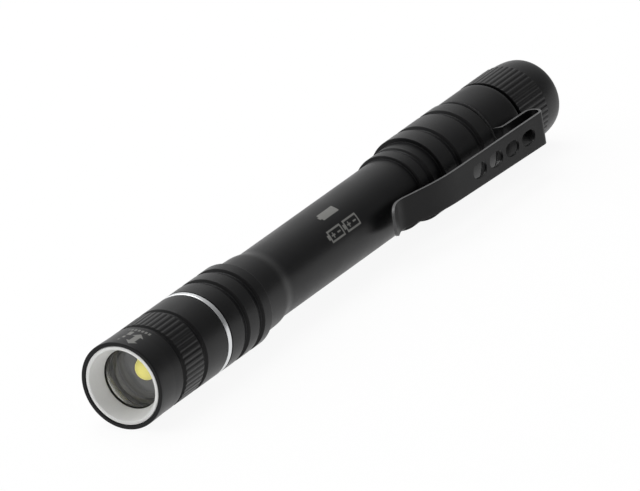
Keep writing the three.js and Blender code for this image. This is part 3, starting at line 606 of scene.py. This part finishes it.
BLACK, BLACK_PALE = grey(0.0035, 0.0, 0.0003), grey(0.007, 0.0, 0.0006)
SATIN = dict(rough=(0.33, 0.41), wear=0.06, specular=0.22, grain=0.1)
FINISHES = {
    "anodised": finish("anodised_black", BLACK, BLACK_PALE, **SATIN),
    "head": finish("anodised_black_head", BLACK, BLACK_PALE, marks=focus_marks, **SATIN),
    "tube": finish("anodised_black_tube", BLACK, BLACK_PALE, marks=cell_marks, **SATIN),
    "steel": finish("coated_steel", grey(0.004, 0.0, 0.0003), grey(0.008, 0.0, 0.0005), (0.36, 0.46),
                    specular=0.17, grain=0.16, height=0.25),
    # The sheet's rims: lighter partly as bare sheared steel under a thin coat, partly as a painted highlight
    # along the edges.
    "cut": finish("sheared_edge_and_painted_highlight", grey(0.06), grey(0.1), (0.3, 0.42), grain=0.08, height=0.3),
    "bright": finish("turned_bright", grey(0.66, 0.01, 0.02), grey(0.8, 0.01, 0.02), (0.3, 0.4), metallic=1.0,
                     grain=0.05, height=0.08),
    "aluminium": finish("bare_aluminium", grey(0.5, 0.01, 0.02), grey(0.62, 0.01, 0.02), (0.28, 0.4),
                        metallic=1.0, grain=0.06, height=0.15),
    "core": finish("dark_core", grey(0.06), grey(0.09), (0.4, 0.5), specular=0.4, grain=0.08),
    # The bore's grey is painted light, lighter than the black anodising, for the haze and reflections seen
    # through the lens.
    "bore": finish("bore_painted_light", grey(0.11), grey(0.13), (0.5, 0.6), specular=0.3, grain=0.1),
    "white": finish("white_plastic", (0.78, 0.78, 0.76), (0.84, 0.84, 0.83), (0.32, 0.42), grain=0.3,
                    height=0.05),
    "rubber": finish("black_rubber", (0.014, 0.014, 0.014), (0.024, 0.024, 0.024), (0.6, 0.75), grain=0.15,
                     height=0.4, specular=0.3),
    # The emitter's phosphor and its ceramic base get a painted glow: emission in place of the light that
    # reaches them through the lens.
    "phosphor": finish("emitter_yellow", (0.78, 0.68, 0.1), (0.86, 0.76, 0.16), (0.3, 0.4), grain=0.06,
                       height=0.1, glow=0.6),
    "ceramic": finish("emitter_ceramic", (0.72, 0.68, 0.28), (0.78, 0.74, 0.36), (0.4, 0.5), grain=0.06,
                      height=0.1, glow=0.5),
    "board": finish("board_dark", (0.06, 0.061, 0.062), (0.085, 0.086, 0.087), (0.35, 0.45), grain=0.2,
                    height=0.1),
    "green": finish("board_green", (0.01, 0.09, 0.03), (0.02, 0.13, 0.05), (0.3, 0.4), grain=0.2, height=0.1),
    "brass": finish("brass", (0.62, 0.42, 0.14), (0.72, 0.52, 0.2), (0.25, 0.38), metallic=1.0, grain=0.06,
                    height=0.1),
    "spring": finish("spring_steel", (0.5, 0.49, 0.46), (0.62, 0.61, 0.58), (0.22, 0.34), metallic=1.0,
                     grain=0.05, height=0.1),
    "switch": finish("switch_plastic", (0.03, 0.03, 0.032), (0.045, 0.045, 0.048), (0.42, 0.52)),
    "plunger": finish("plunger_plastic", (0.62, 0.6, 0.55), (0.7, 0.68, 0.63), (0.4, 0.5), height=0.1),
    "lens": glass("clear_lens"),
    "sleeve": sleeve("cell_sleeve"),
}


def place(obj, finish_name, body, slot, *nodes):
    """Gives a new piece its finish, the body it rides on and the CAD nodes it stands for."""
    obj.data.materials.append(FINISHES[finish_name])
    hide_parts(*nodes)
    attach(obj, body)
    return obj


def place_ring(name, node, inner, finish_name, body, slot, rounding=HAIR):
    """Places a flat ring with the outer radius and the ends of the CAD node it stands for."""
    profile = ring_profile(inner, *extent(node), rounding)
    place(turned(name, profile), finish_name, body, slot, node)


def place_disc(name, node, finish_name, body, slot, columns=COLUMNS, rounding=HAIR):
    """Places a disc with the radius and the ends of the CAD node it stands for."""
    outer, start, end = extent(node)
    profile = [(0, start), (outer, start, rounding), (outer, end, rounding), (0, end)]
    place(turned(name, profile, columns), finish_name, body, slot, node)


def place_seal(name, node, section):
    """Places a ring of round section: a circle of half the section, carried round the axis."""
    sides = 20
    around = np.arange(INNER_COLUMNS) * 2 * np.pi / INNER_COLUMNS
    across = np.arange(sides) * 2 * np.pi / sides
    r = radius(node) - section / 2 + section / 2 * np.cos(across)[:, None] + 0 * around
    y = midway(node) + section / 2 * np.sin(across)[:, None] + 0 * around
    quads, row, column = grid_quads(sides, INNER_COLUMNS, True, True)
    uv = np.stack([column / INNER_COLUMNS, row / sides], -1)
    ring = mesh_object(name, about_axis(r, y, around), quads, uv)
    place(ring, "rubber", "barrel", "black_rubber", node)


def face_middles(mesh):
    """Middles of a mesh's faces in millimetres: out from the axis, from the lip, and up from the axis."""
    middle = np.empty(3 * len(mesh.polygons))
    mesh.polygons.foreach_get("center", middle)
    return ((middle.reshape(-1, 3) - LIP_CENTRE) / MM).T


def second_finish(obj, finish_name, start, end, within):
    """Gives another finish to the faces of a turned piece between two places and within a radius."""
    mesh = obj.data
    mesh.materials.append(FINISHES[finish_name])
    out, at, up = face_middles(mesh)
    chosen = (at > start) & (at < end) & (np.hypot(out, up) < within)
    mesh.polygons.foreach_set("material_index", chosen.astype(np.int32))


# Head
FIRST_FLUTE = HEAD_BAND + HEAD_GROOVE
LAST_FLUTE = FIRST_FLUTE + HEAD_FLUTES
BEZEL_SOCKET = HEAD - 0.6
LENS_SOCKET = BEZEL_SOCKET - 0.4
LENS_SEAT = LENS_SOCKET - 1.0
HEAD_BORE = radius("led_carrier") + RUN_GAP
STOP_SOCKET = HEAD_BORE + 0.25
STOP_FRONT = front("head_stop_ring")
GASKET_FRONT = front("lens_gasket")
LENS_REAR = rear("lens")
SEAT_FRONT, SEAT_REAR = LENS_REAR + SEAT_GAP, LENS_REAR + 1.5
profile = [
    (BEZEL_SOCKET, 0, SMALL),
    (LIP, 0, 0.22),
    (LIP, LIP_WIDTH, 0.4),
    (HEAD, LIP_FADE, 2.0),
    *groove_profile(HEAD, HEAD_BAND, HEAD_GROOVE, HEAD_GROOVE_DEPTH),
    *groove_profile(HEAD, LAST_FLUTE, HEAD_GROOVE, HEAD_GROOVE_DEPTH),
    (HEAD, HEAD_REAR, 0.18),
    (STOP_SOCKET, HEAD_REAR, HAIR),
    (STOP_SOCKET, STOP_FRONT - SEAT_GAP),
    (HEAD_BORE, STOP_FRONT - SEAT_GAP),
    (HEAD_BORE, SEAT_REAR),
    (LENS_SEAT, SEAT_REAR),
    (LENS_SEAT, SEAT_FRONT),
    (LENS_SOCKET, SEAT_FRONT),
    (LENS_SOCKET, GASKET_FRONT),
    (BEZEL_SOCKET, GASKET_FRONT),
]
head_sleeve = place(
    turned("head_sleeve", profile, FLUTED_COLUMNS, flutes=(FIRST_FLUTE - SLOPE, LAST_FLUTE + SLOPE, HEAD)),
    "head", "head", "black_anodised", "head_shell",
)
# The bore behind the lens is painted lighter grey than its black anodising: painted light in place of the
# haze and reflections seen through the lens.
second_finish(head_sleeve, "bore", LENS_REAR, STOP_FRONT, LENS_SOCKET + SEAT_GAP / 2)
BEZEL, BEZEL_FRONT, BEZEL_REAR = extent("bezel_ring")
BEZEL_LIP, BEZEL_LAND = 0.65, 0.25
APERTURE = 5.65
profile = [
    (BEZEL, BEZEL_FRONT, SOFT),
    (BEZEL, BEZEL_REAR, HAIR),
    (APERTURE, BEZEL_REAR, HAIR),
    (APERTURE, BEZEL_REAR - BEZEL_LAND, EDGE),
    (BEZEL - BEZEL_LIP, BEZEL_FRONT, ROUND),
]
place(turned("bezel_cone", profile, OUTER_COLUMNS), "white", "head", "white_plastic", "bezel_ring")
place_ring("lens_seal", "lens_gasket", APERTURE, "rubber", "head", "black_rubber", SMALL)
LENS = radius("lens")
LENS_FLANGE = LENS_REAR - 1.1
CROWN_RIM, CROWN_RIM_AT = APERTURE - 0.1, LENS_FLANGE - 0.6
profile = [
    *crown(CROWN_RIM, CROWN_RIM_AT, front("lens"), 40),
    (CROWN_RIM, LENS_FLANGE, 0.02),
    (LENS, LENS_FLANGE, 0.06),
    (LENS, LENS_REAR, 0.06),
    (0, LENS_REAR),
]
place(turned("lens_dome", profile, LENS_COLUMNS), "lens", "head", "clear_lens", "lens")
STOP_BORE = 6.3
place_ring("stop_ring", "head_stop_ring", STOP_BORE, "aluminium", "head", "bare_aluminium")

# Core and emitter
FLANGE, CARRIER_FRONT, CARRIER_REAR = extent("led_carrier")
CARRIER = FLANGE - 0.55
RECESS = FLANGE - 0.8
FLOOR = rear("led_board") + SEAT_GAP
FLANGE_REAR, WEB_REAR = FLOOR + 3, FLOOR + 6
CORE_BORE = CARRIER - 1.3
DRIVER_OUT = radius("driver_board") + SEAT_GAP
DRIVER_SEAT = front("driver_board") - SEAT_GAP
profile = [
    (0, FLOOR),
    (RECESS, FLOOR),
    (RECESS, CARRIER_FRONT, FINE),
    (FLANGE, CARRIER_FRONT, FINE),
    *seal_groove(FLANGE, "focus_o_ring", FOCUS_SECTION),
    (FLANGE, FLANGE_REAR, FINE),
    (CARRIER, FLANGE_REAR, SMALL),
    *seal_groove(CARRIER, "front_seal", SEAL_SECTION),
    (CARRIER, CARRIER_REAR, FINE),
    (DRIVER_OUT, CARRIER_REAR, HAIR),
    (DRIVER_OUT, DRIVER_SEAT),
    (CORE_BORE, DRIVER_SEAT),
    (CORE_BORE, WEB_REAR),
    (0, WEB_REAR),
]
place(turned("core", profile), "core", "barrel", "bare_aluminium", "led_carrier")
place_seal("focus_seal", "focus_o_ring", FOCUS_SECTION)
place_seal("core_seal", "front_seal", SEAL_SECTION)
place_disc("emitter_board", "led_board", "board", "barrel", "board_black")
EMITTER = radius("led_dome") + 0.6
EMITTER_REAR = rear("led_dome")
profile = [*quarter(EMITTER, EMITTER_REAR, 0, EMITTER_REAR - EMITTER, 20), (0, EMITTER_REAR)]
# The emitter's dome takes the phosphor finish, with its painted glow.
place(turned("emitter_dome", profile, INNER_COLUMNS), "phosphor", "barrel", "emitter_yellow", "led_dome")
place_disc("driver_disc", "driver_board", "green", "barrel", "board_green")
CONTACT, CONTACT_FRONT, CONTACT_REAR = extent("front_contact")
CONTACT_FLANGE_REAR = CONTACT_FRONT + 0.8
STUD = 2.0
profile = [
    (0, CONTACT_FRONT),
    (CONTACT, CONTACT_FRONT, SMALL),
    (CONTACT, CONTACT_FLANGE_REAR, SMALL),
    (STUD, CONTACT_FLANGE_REAR, 0.15),
    (STUD, CONTACT_REAR, 0.3),
    (0, CONTACT_REAR),
]
place(turned("contact_stud", profile, STUD_COLUMNS), "brass", "barrel", "brass", "front_contact")
SOCKET = CARRIER + SEAT_GAP
profile = ring_profile(SOCKET, radius("trim_ring"), front("trim_ring"), rear("trim_ring") + SEAT_GAP, ROUND)
place(turned("bright_ring", profile, OUTER_COLUMNS), "bright", "barrel", "bright_ring", "trim_ring")

# Barrel and cells
TUBE_FRONT, SOCKET_END = BARREL_FRONT + 0.2, BARREL_FRONT + 7
FIRST_GROOVE = BARREL_FRONT + 4.4
SECOND_GROOVE = FIRST_GROOVE + GROOVE + 3.6
SHOULDER_END = SECOND_GROOVE + GROOVE + 2.85
FRONT_STEP_END = SHOULDER_END + 8.3
FRONT_STEP_ROUND = 9.0
THIRD_RIB_END = COLLAR_FRONT - 0.3
FIFTH_GROOVE = THIRD_RIB_END - 4.2 - GROOVE
FOURTH_GROOVE = FIFTH_GROOVE - 6.65 - GROOVE
FIRST_RIB = FOURTH_GROOVE - 4.1
TUBE_REAR = FIRST_RIB - 7.4
STEP_GROOVE, STEP_GROOVE_WIDTH, STEP_GROOVE_DEPTH = TUBE_REAR + 2.95, 1.2, 0.45
SPRING_AT = front("tail_spring")
profile = [
    (SOCKET, TUBE_FRONT, HAIR),
    (RIB, TUBE_FRONT, EDGE),
    *groove_profile(RIB, FIRST_GROOVE, GROOVE, GROOVE_DEPTH),
    *groove_profile(RIB, SECOND_GROOVE, GROOVE, GROOVE_DEPTH),
    (RIB, SHOULDER_END, EDGE),
    (STEP + 0.05, SHOULDER_END + 0.2, 0.3),
    (STEP - 0.15, FRONT_STEP_END - 1.6, FRONT_STEP_ROUND),
    (TUBE, FRONT_STEP_END + 0.9, FRONT_STEP_ROUND),
    (TUBE, TUBE_REAR + 0.35, SMALL),
    (STEP, TUBE_REAR + 0.45, ROUND),
    *groove_profile(STEP, STEP_GROOVE, STEP_GROOVE_WIDTH, STEP_GROOVE_DEPTH),
    (STEP, FIRST_RIB, SMALL),
    (RIB, FIRST_RIB, EDGE),
    *groove_profile(RIB, FOURTH_GROOVE, GROOVE, GROOVE_DEPTH),
    *groove_profile(RIB, FIFTH_GROOVE, GROOVE, GROOVE_DEPTH),
    (RIB, THIRD_RIB_END - 0.3, ROUND),
    (STEP, THIRD_RIB_END - 0.2, FINE),
    (STEP, NECK_ROOT, FINE),
    (NECK, NECK_ROOT, HAIR),
    *seal_groove(NECK, "tail_seal", SEAL_SECTION),
    (NECK, NECK_REAR, SMALL),
    (NECK_BORE, NECK_REAR, HAIR),
    (NECK_BORE, SPRING_AT),
    (BORE, SPRING_AT),
    (BORE, SOCKET_END),
    (SOCKET, SOCKET_END),
]
place(
    turned("body_tube", profile, OUTER_COLUMNS, thread=(midway("tail_seal") + 0.65, NECK_REAR - 0.2, NECK)),
    "tube", "barrel", "black_anodised", "barrel",
)
CELL_STUD, CELL_STUD_HEIGHT, CELL_ROUND = 1.9, 1.0, 0.5
for title, node in (("cell_ahead", "front_cell"), ("cell_behind", "rear_cell")):
    cell_out, cell_front, cell_rear = extent(node)
    profile = [
        (0, cell_front),
        (CELL_STUD, cell_front, 0.3),
        (CELL_STUD, cell_front + CELL_STUD_HEIGHT, SMALL),
        (cell_out, cell_front + CELL_STUD_HEIGHT, CELL_ROUND),
        (cell_out, cell_rear, CELL_ROUND),
        (0, cell_rear),
    ]
    place(turned(title, profile, INNER_COLUMNS), "sleeve", "barrel", "cell_sleeve", node)
place_seal("tail_o_ring", "tail_seal", SEAL_SECTION)

# Tail cap, switch and button
CAP, CAP_FRONT, CAP_REAR = extent("tail_cap")
FLUTES_END = CAP_FRONT + CAP_FLUTES
CAP_SHOULDER = front("button_washer")
BUTTON_RECESS, BUTTON_DEPTH = 0.5, 3.4
END_WALL = rear("button") + BUTTON_RECESS - BUTTON_DEPTH
OPENING = 4.75
BUTTON_ROOM = OPENING + 1.05
profile = [
    (CAP_BORE, CAP_FRONT, HAIR),
    (CAP, CAP_FRONT, SOFT),
    (CAP, FLUTES_END, 0.06),
    (CAP_CROWN, FLUTES_END + 0.12, HAIR),
    *quarter(CAP_CROWN, FLUTES_END + 0.5, CAP_END, CAP_REAR, 22),
    (OPENING, CAP_REAR, 0.25),
    (OPENING, END_WALL, HAIR),
    (BUTTON_ROOM, END_WALL),
    (BUTTON_ROOM, CAP_SHOULDER),
    (CAP_BORE, CAP_SHOULDER),
]
place(
    turned("end_cap", profile, FLUTED_COLUMNS, flutes=(CAP_FRONT - 1, FLUTES_END + 0.2, CAP)),
    "anodised", "tail_cap", "black_anodised", "tail_cap",
)
PLUNGER_OPENING = 4.6
place_ring("retaining_ring", "switch_retainer", PLUNGER_OPENING, "aluminium", "tail_cap", "bare_aluminium")
place_ring("stop_washer", "button_washer", PLUNGER_OPENING, "aluminium", "tail_cap", "bare_aluminium", 0.03)
BUTTON_FLANGE, BUTTON_FRONT, BUTTON_REAR = extent("button")
BUTTON = 4.45
BUTTON_FLANGE_REAR = BUTTON_FRONT + 0.8
profile = [
    (0, BUTTON_FRONT),
    (BUTTON_FLANGE, BUTTON_FRONT, SMALL),
    (BUTTON_FLANGE, BUTTON_FLANGE_REAR, SMALL),
    (BUTTON, BUTTON_FLANGE_REAR, HAIR),
    (BUTTON, BUTTON_REAR - 0.5, 0.25),
    *quarter(3.9, BUTTON_REAR - 0.3, 0, BUTTON_REAR, 16)[1:],
]
place(turned("push_button", profile), "rubber", "button", "black_rubber", "button")
SWITCH, SWITCH_FRONT, SWITCH_REAR = extent("switch_body")
GUIDE = radius("switch_plunger") + RUN_GAP
GUIDE_FLOOR = front("switch_plunger") - 1.8
profile = [
    (0, SWITCH_FRONT),
    (SWITCH, SWITCH_FRONT, SMALL),
    (SWITCH, SWITCH_REAR, ROUND),
    (GUIDE, SWITCH_REAR, HAIR),
    (GUIDE, GUIDE_FLOOR),
    (0, GUIDE_FLOOR),
]
place(
    turned("switch_case", profile, INNER_COLUMNS),
    "switch", "switch_module", "switch_plastic", "switch_body",
)
place_disc("switch_stem", "switch_plunger", "plunger", "plunger", "plunger_plastic", STUD_COLUMNS, ROUND)
place_disc("switch_disc", "switch_board", "green", "switch_module", "board_green", INNER_COLUMNS)
WIRE, TURNS = 0.8, 4
place(
    coil("coil_spring", SPRING_AT, rear("tail_spring") - SPRING_AT, 2 * radius("tail_spring"), WIRE, TURNS),
    "spring", "switch_module", "spring_steel", "tail_spring",
)
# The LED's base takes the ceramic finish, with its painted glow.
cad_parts["led_base"].data.materials.clear()
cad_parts["led_base"].data.materials.append(FINISHES["ceramic"])

# Pocket clip: places from the lip and reaches from the axis, to the middle of the sheet
BAND_INSET = 0.3
BAND_FRONT, BAND_REAR = COLLAR_FRONT + BAND_INSET, COLLAR_REAR - BAND_INSET
BAND_SLANT, BAND_SLANT_FROM = 0.35, 0.4
BAND_END = math.pi - math.radians(25)
STRIP_FRONT = BAND_FRONT + 0.2
# Places behind the strip's front, and the strip's height over the band there
STRIP_RISE = [(0.1, -0.05), (1.1, 0.72), (2.3, 0.92)]
STRIP_EASE, STRIP_FLAT = 0.3, 1.2
ARM = 3.1
KNEE_HALF = 2.9
TIP_HALF = 2.7
TIP_CORNER = 1.8
ARM_REACH = 11.92
BEND = 1.53
BEND_AT = COLLAR_REAR - 0.25
BEND_REACH = ARM_REACH - BEND
KNEE_REACH, KNEE_AT = RIB + 2.4, FIRST_RIB - 5.45
CONTACT_REACH, CONTACT_AT = TUBE + 0.55 + SHEET / 2, TUBE_REAR - 9.45
TIP_REACH, TIP_AT = CONTACT_REACH + 1.9, CONTACT_AT - 4.4
CONTACT_EASE, KNEE_EASE = 1.7, 4.0
HOLES, HOLE_STRAIGHT = 4, 1.6
HOLE_HALF, HOLE_LENGTH, HOLE_PITCH = 1.35, 4.4, 5.5
FIRST_HOLE = COLLAR_REAR - 5.0
HOLE_RINGS = [0, 0.12, 0.4, 0.7, 1.0]
ACROSS = 12
SHEET_WELD = 2e-6
RIM_ROUND, RIM_ANGLE = 0.19, math.radians(50)


def smooth(x):
    """Soft step from 0 to 1."""
    x = np.clip(x, 0, 1)
    return x * x * (3 - 2 * x)


def band_point(at, angle):
    """Points of the band: an arc round the barrel, whose front edge slants back away from the strip."""
    run = (BAND_REAR - at) / (BAND_REAR - BAND_FRONT)
    slanted = at + BAND_SLANT * run * smooth(np.abs(angle) - BAND_SLANT_FROM)
    return np.stack([COLLAR * np.cos(angle) + 0 * at, slanted, COLLAR * np.sin(angle) + 0 * at], -1)


def strip_point(at, share):
    """Points of the strip that rises out of the band and runs back to the bend: a share from -1 to 1
    across."""
    rise_at = [STRIP_FRONT + behind for behind, _ in STRIP_RISE] + [BEND_AT]
    rise = [COLLAR + height for _, height in STRIP_RISE] + [BEND_REACH - BEND]
    near = at[..., None] + np.linspace(-STRIP_EASE, STRIP_EASE, 7)
    reach = np.interp(near, rise_at, rise).mean(-1)
    across = ARM * share + 0 * at
    sag = (COLLAR - np.sqrt(COLLAR**2 - across**2)) * (1 - smooth((at - STRIP_FRONT) / STRIP_FLAT))
    return np.stack([reach - sag, at + 0 * share, across], -1)


def arm_reach(at):
    """Distance of the arm from the axis along its run, with its knee and contact rounded over."""
    places_at = np.array([TIP_AT, CONTACT_AT, KNEE_AT, BEND_AT])
    reach = np.array([TIP_REACH, CONTACT_REACH, KNEE_REACH, ARM_REACH])
    ease = np.interp(at, [CONTACT_AT + 2, KNEE_AT - 3], [CONTACT_EASE, KNEE_EASE])[..., None]
    near = at[..., None] + ease * np.linspace(-1, 1, 15)
    beyond = (TIP_REACH - CONTACT_REACH) / (CONTACT_AT - TIP_AT) * np.maximum(TIP_AT - near, 0)
    behind = (ARM_REACH - KNEE_REACH) / (BEND_AT - KNEE_AT) * np.maximum(near - BEND_AT, 0)
    return (np.interp(near, places_at, reach) + beyond + behind).mean(-1)


def arm_half(at):
    """Half the arm's width along its run: tapering to the knee and the tip, where its corners are round."""
    half = np.interp(at, [TIP_AT, KNEE_AT, BEND_AT], [TIP_HALF, KNEE_HALF, ARM])
    short = np.clip(TIP_CORNER - (at - TIP_AT), 0, TIP_CORNER)
    return half - TIP_CORNER + np.sqrt(np.maximum(TIP_CORNER**2 - short**2, 0))


def arm_point(at, share):
    """Points of the arm: a share from -1 to 1 across its width."""
    return np.stack([arm_reach(at) + 0 * share, at + 0 * share, arm_half(at) * share], -1)


def patch(points):
    """A grid of points as a list of points and quads."""
    rows, columns = points.shape[:2]
    return points.reshape(-1, 3), grid_quads(rows, columns, False, False)[0]


def hole_patch(centre):
    """Arm round one oblong hole: each point lies between the hole's outline and the cell's straight sides."""
    n = ACROSS
    side = np.linspace(-1, 1, n + 1)[:-1]
    u = np.concatenate([side, np.ones(n), -side, -np.ones(n)])
    v = np.concatenate([-np.ones(n), side, np.ones(n), -side])
    angle = np.arctan2(v, u)
    run = (HOLE_LENGTH / 2 - HOLE_HALF) * np.clip(HOLE_STRAIGHT * np.cos(angle), -1, 1)
    hole_at = centre + run + HOLE_HALF * np.cos(angle)
    hole_w = HOLE_HALF * np.sin(angle)
    edge_at = centre + u * HOLE_PITCH / 2
    edge_w = v * arm_half(edge_at)
    t = np.array(HOLE_RINGS)[:, None]
    at = hole_at * (1 - t) + edge_at * t
    w = hole_w * (1 - t) + edge_w * t
    xyz = np.stack([arm_reach(at), at, w], -1)
    return xyz.reshape(-1, 3), grid_quads(len(t), 4 * n, False, True)[0]


def pocket_clip():
    """Pocket clip of sheet: an open band round the barrel, and on it a strip that rises to a bend and comes
    back over the barrel as the arm with its holes. The middle surface is thickened by half the sheet to each
    side."""
    share = np.linspace(-1, 1, ACROSS + 1)
    band_at, band_angle = np.linspace(BAND_FRONT, BAND_REAR, 12), np.linspace(-BAND_END, BAND_END, 121)
    band = band_point(band_at[:, None], band_angle[None])
    strip = strip_point(np.linspace(STRIP_FRONT, BEND_AT, 40)[:, None], share[None])
    turn = np.linspace(np.pi, 0, 25)[:, None]
    bend_reach = BEND_REACH + BEND * np.cos(turn) + 0 * share
    bend_at = BEND_AT + BEND * np.sin(turn) + 0 * share
    bend = np.stack([bend_reach, bend_at, ARM * share + 0 * turn], -1)
    holes = [FIRST_HOLE - k * HOLE_PITCH for k in range(HOLES)]
    behind = np.linspace(BEND_AT, holes[0] + HOLE_PITCH / 2, 8)
    before = np.concatenate([
        np.linspace(holes[-1] - HOLE_PITCH / 2, TIP_AT + TIP_CORNER, 70),
        TIP_AT + TIP_CORNER * (1 - np.sin(np.linspace(0, np.pi / 2, 10)))[1:],
    ])
    parts = [
        patch(band),
        patch(np.concatenate([strip, bend[1:]])),
        patch(arm_point(behind[:, None], share[None])),
        *[hole_patch(c) for c in holes],
        patch(arm_point(before[:, None], share[None])),
    ]
    counts = np.cumsum([0] + [len(p) for p, _ in parts])
    points = np.concatenate([p for p, _ in parts]) * MM + LIP_CENTRE
    quads = np.concatenate([q + n for (_, q), n in zip(parts, counts)])
    sheet = mesh_object("pocket_clip", points, quads)
    sheet.data.materials.append(FINISHES["steel"])
    sheet.data.materials.append(FINISHES["cut"])
    work = bmesh.new()
    work.from_mesh(sheet.data)
    bmesh.ops.remove_doubles(work, verts=work.verts, dist=SHEET_WELD)
    bmesh.ops.recalc_face_normals(work, faces=work.faces)
    work.to_mesh(sheet.data)
    work.free()
    thick = sheet.modifiers.new("thickness", "SOLIDIFY")
    thick.thickness, thick.offset, thick.use_even_offset = SHEET * MM, 0, True
    thick.material_offset_rim = 1
    rim = sheet.modifiers.new("rim", "BEVEL")
    rim.width, rim.segments, rim.limit_method, rim.angle_limit = RIM_ROUND * MM, 3, "ANGLE", RIM_ANGLE
    rim.material = 1
    solid = bpy.data.meshes.new_from_object(sheet.evaluated_get(bpy.context.evaluated_depsgraph_get()))
    sheet.modifiers.clear()
    sheet.data = solid
    solid.polygons.foreach_set("use_smooth", np.ones(len(solid.polygons), bool))
    solid.set_sharp_from_angle(angle=RIM_ANGLE)
    # The coat covers the rims of the holes, and is thin on the outer edges alone, whose lighter rim finish is
    # partly bare sheared steel and partly a painted highlight.
    finish_of = np.empty(len(solid.polygons), np.int32)
    solid.polygons.foreach_get("material_index", finish_of)
    out, _, up = face_middles(solid)
    on_hole = (np.abs(up) < (HOLE_HALF + TIP_HALF) / 2) & (out > KNEE_REACH - 0.2)
    solid.polygons.foreach_set("material_index", np.where(on_hole, 0, finish_of).astype(np.int32))
    return sheet


clip = pocket_clip()
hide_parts("clip_collar", "clip_arm")
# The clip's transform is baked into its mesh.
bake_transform(clip)

# Stage: places and sizes in metres
FLOOR_HALF, FLOOR_GLOW = 3.0, 0.92
# Name, place, side and watts of each light
LIGHTS = [
    ("top_light", (-0.35, 0.25, 1.3), 1.1, 11),
    ("side_light", (-1.2, -0.5, 0.9), 0.9, 4),
    ("fill_light", (0.9, -0.9, 1.0), 0.7, 1.2),
]
SKY_DARK, SKY_PALE = 0.18, 0.9
VIEW_AZIMUTH, VIEW_ELEVATION, VIEW_TURN = (math.radians(a) for a in (30.267, 24.747, 10.0))
VIEW_AT, VIEW_RIGHT, VIEW_UP = 71.6, 0.001497, 0.00138
VIEW_DISTANCE = 2.370936
FOCAL_PIXELS, PHOTO_WIDTH, SENSOR = 13288.3, 640, 36.0


def stage_floor():
    """Pale floor: a flat square far wider than the view. To the camera and in reflections it glows white."""
    corners = [(-1, -1, 0), (1, -1, 0), (1, 1, 0), (-1, 1, 0)]
    floor = mesh_object("floor", FLOOR_HALF * np.array(corners, float), np.array([[0, 1, 2, 3]]))
    mat, tree, shader = material("floor_white")
    cloud = grained(tree, 2.0, 0.0)["Cloud"]
    feed(tree, shader, {
        "Base Color": mixed(tree, cloud, (0.9, 0.9, 0.9), (0.92, 0.92, 0.92)),
        "Roughness": 0.8,
        "Specular IOR Level": 0.1,
    })
    glow = put(tree, "ShaderNodeEmission")
    path = put(tree, "ShaderNodeLightPath").outputs
    mirrored = calc(tree, "MAXIMUM", path["Is Glossy Ray"], path["Is Transmission Ray"])
    share = times(tree, calc(tree, "MAXIMUM", path["Is Camera Ray"], mirrored), FLOOR_GLOW)
    blend = put(tree, "ShaderNodeMixShader", {0: share, 1: shader.outputs[0], 2: glow.outputs[0]})
    out = next(n for n in tree.nodes if n.type == "OUTPUT_MATERIAL")
    feed(tree, out, {"Surface": blend.outputs[0]})
    floor.data.materials.append(mat)


def softbox(name, position, size, power):
    """Square area light that faces the origin."""
    data = bpy.data.lights.new(name, "AREA")
    data.shape, data.size, data.size_y, data.energy = "RECTANGLE", size, size, power
    light = linked(name, data)
    light.location = position
    yaw = math.atan2(position[1], position[0]) + math.pi / 2
    tilt = math.acos(position[2] / np.linalg.norm(position))
    light.rotation_euler = (tilt, 0, yaw)


def studio_world():
    """White to the camera; for light and reflections a plain grey sky that is paler to the left."""
    world = bpy.data.worlds.new("studio")
    bpy.context.scene.world = world
    world.use_nodes = True
    tree = world.node_tree
    tree.nodes.clear()
    way = put(tree, "ShaderNodeTexCoord").outputs["Generated"]
    parts = put(tree, "ShaderNodeSeparateXYZ", {0: way})
    left = times(tree, parts.outputs[0], -1.0)
    level = ranged(tree, left, -0.6, 0.7, SKY_DARK, SKY_PALE)
    seen = put(tree, "ShaderNodeLightPath").outputs["Is Camera Ray"]
    unseen = times(tree, level, calc(tree, "SUBTRACT", 1.0, seen))
    strength = calc(tree, "ADD", unseen, seen)
    back = put(tree, "ShaderNodeBackground", {"Color": (1, 1, 1, 1), "Strength": strength})
    put(tree, "ShaderNodeOutputWorld", {"Surface": back.outputs[0]})


def camera():
    """Long lens from the front right and above, turned about the axis until the clip lies as in the photo."""
    level = math.cos(VIEW_ELEVATION)
    back = np.array([
        math.sin(VIEW_AZIMUTH) * level,
        -math.cos(VIEW_AZIMUTH) * level,
        math.sin(VIEW_ELEVATION),
    ])
    right = np.array([math.cos(VIEW_AZIMUTH), math.sin(VIEW_AZIMUTH), 0.0])
    up = np.cross(back, right)
    c, s = math.cos(VIEW_TURN), math.sin(VIEW_TURN)
    roll = np.array([[c, 0, -s], [0, 1, 0], [s, 0, c]])
    right, up, back = np.stack([right, up, back]) @ roll
    target = on_axis(VIEW_AT) - VIEW_RIGHT * right - VIEW_UP * up
    data = bpy.data.cameras.new("camera")
    data.sensor_width = SENSOR
    data.lens = FOCAL_PIXELS / PHOTO_WIDTH * SENSOR
    data.clip_start, data.clip_end = 0.1, 20.0
    cam = linked("camera", data)
    cam.location = target + VIEW_DISTANCE * back
    cam.rotation_euler = Matrix(np.stack([right, up, back], 1).tolist()).to_euler()
    bpy.context.scene.camera = cam


stage_floor()
for light_row in LIGHTS:
    softbox(*light_row)
studio_world()
camera()
bpy.context.scene.view_settings.view_transform = "Standard"
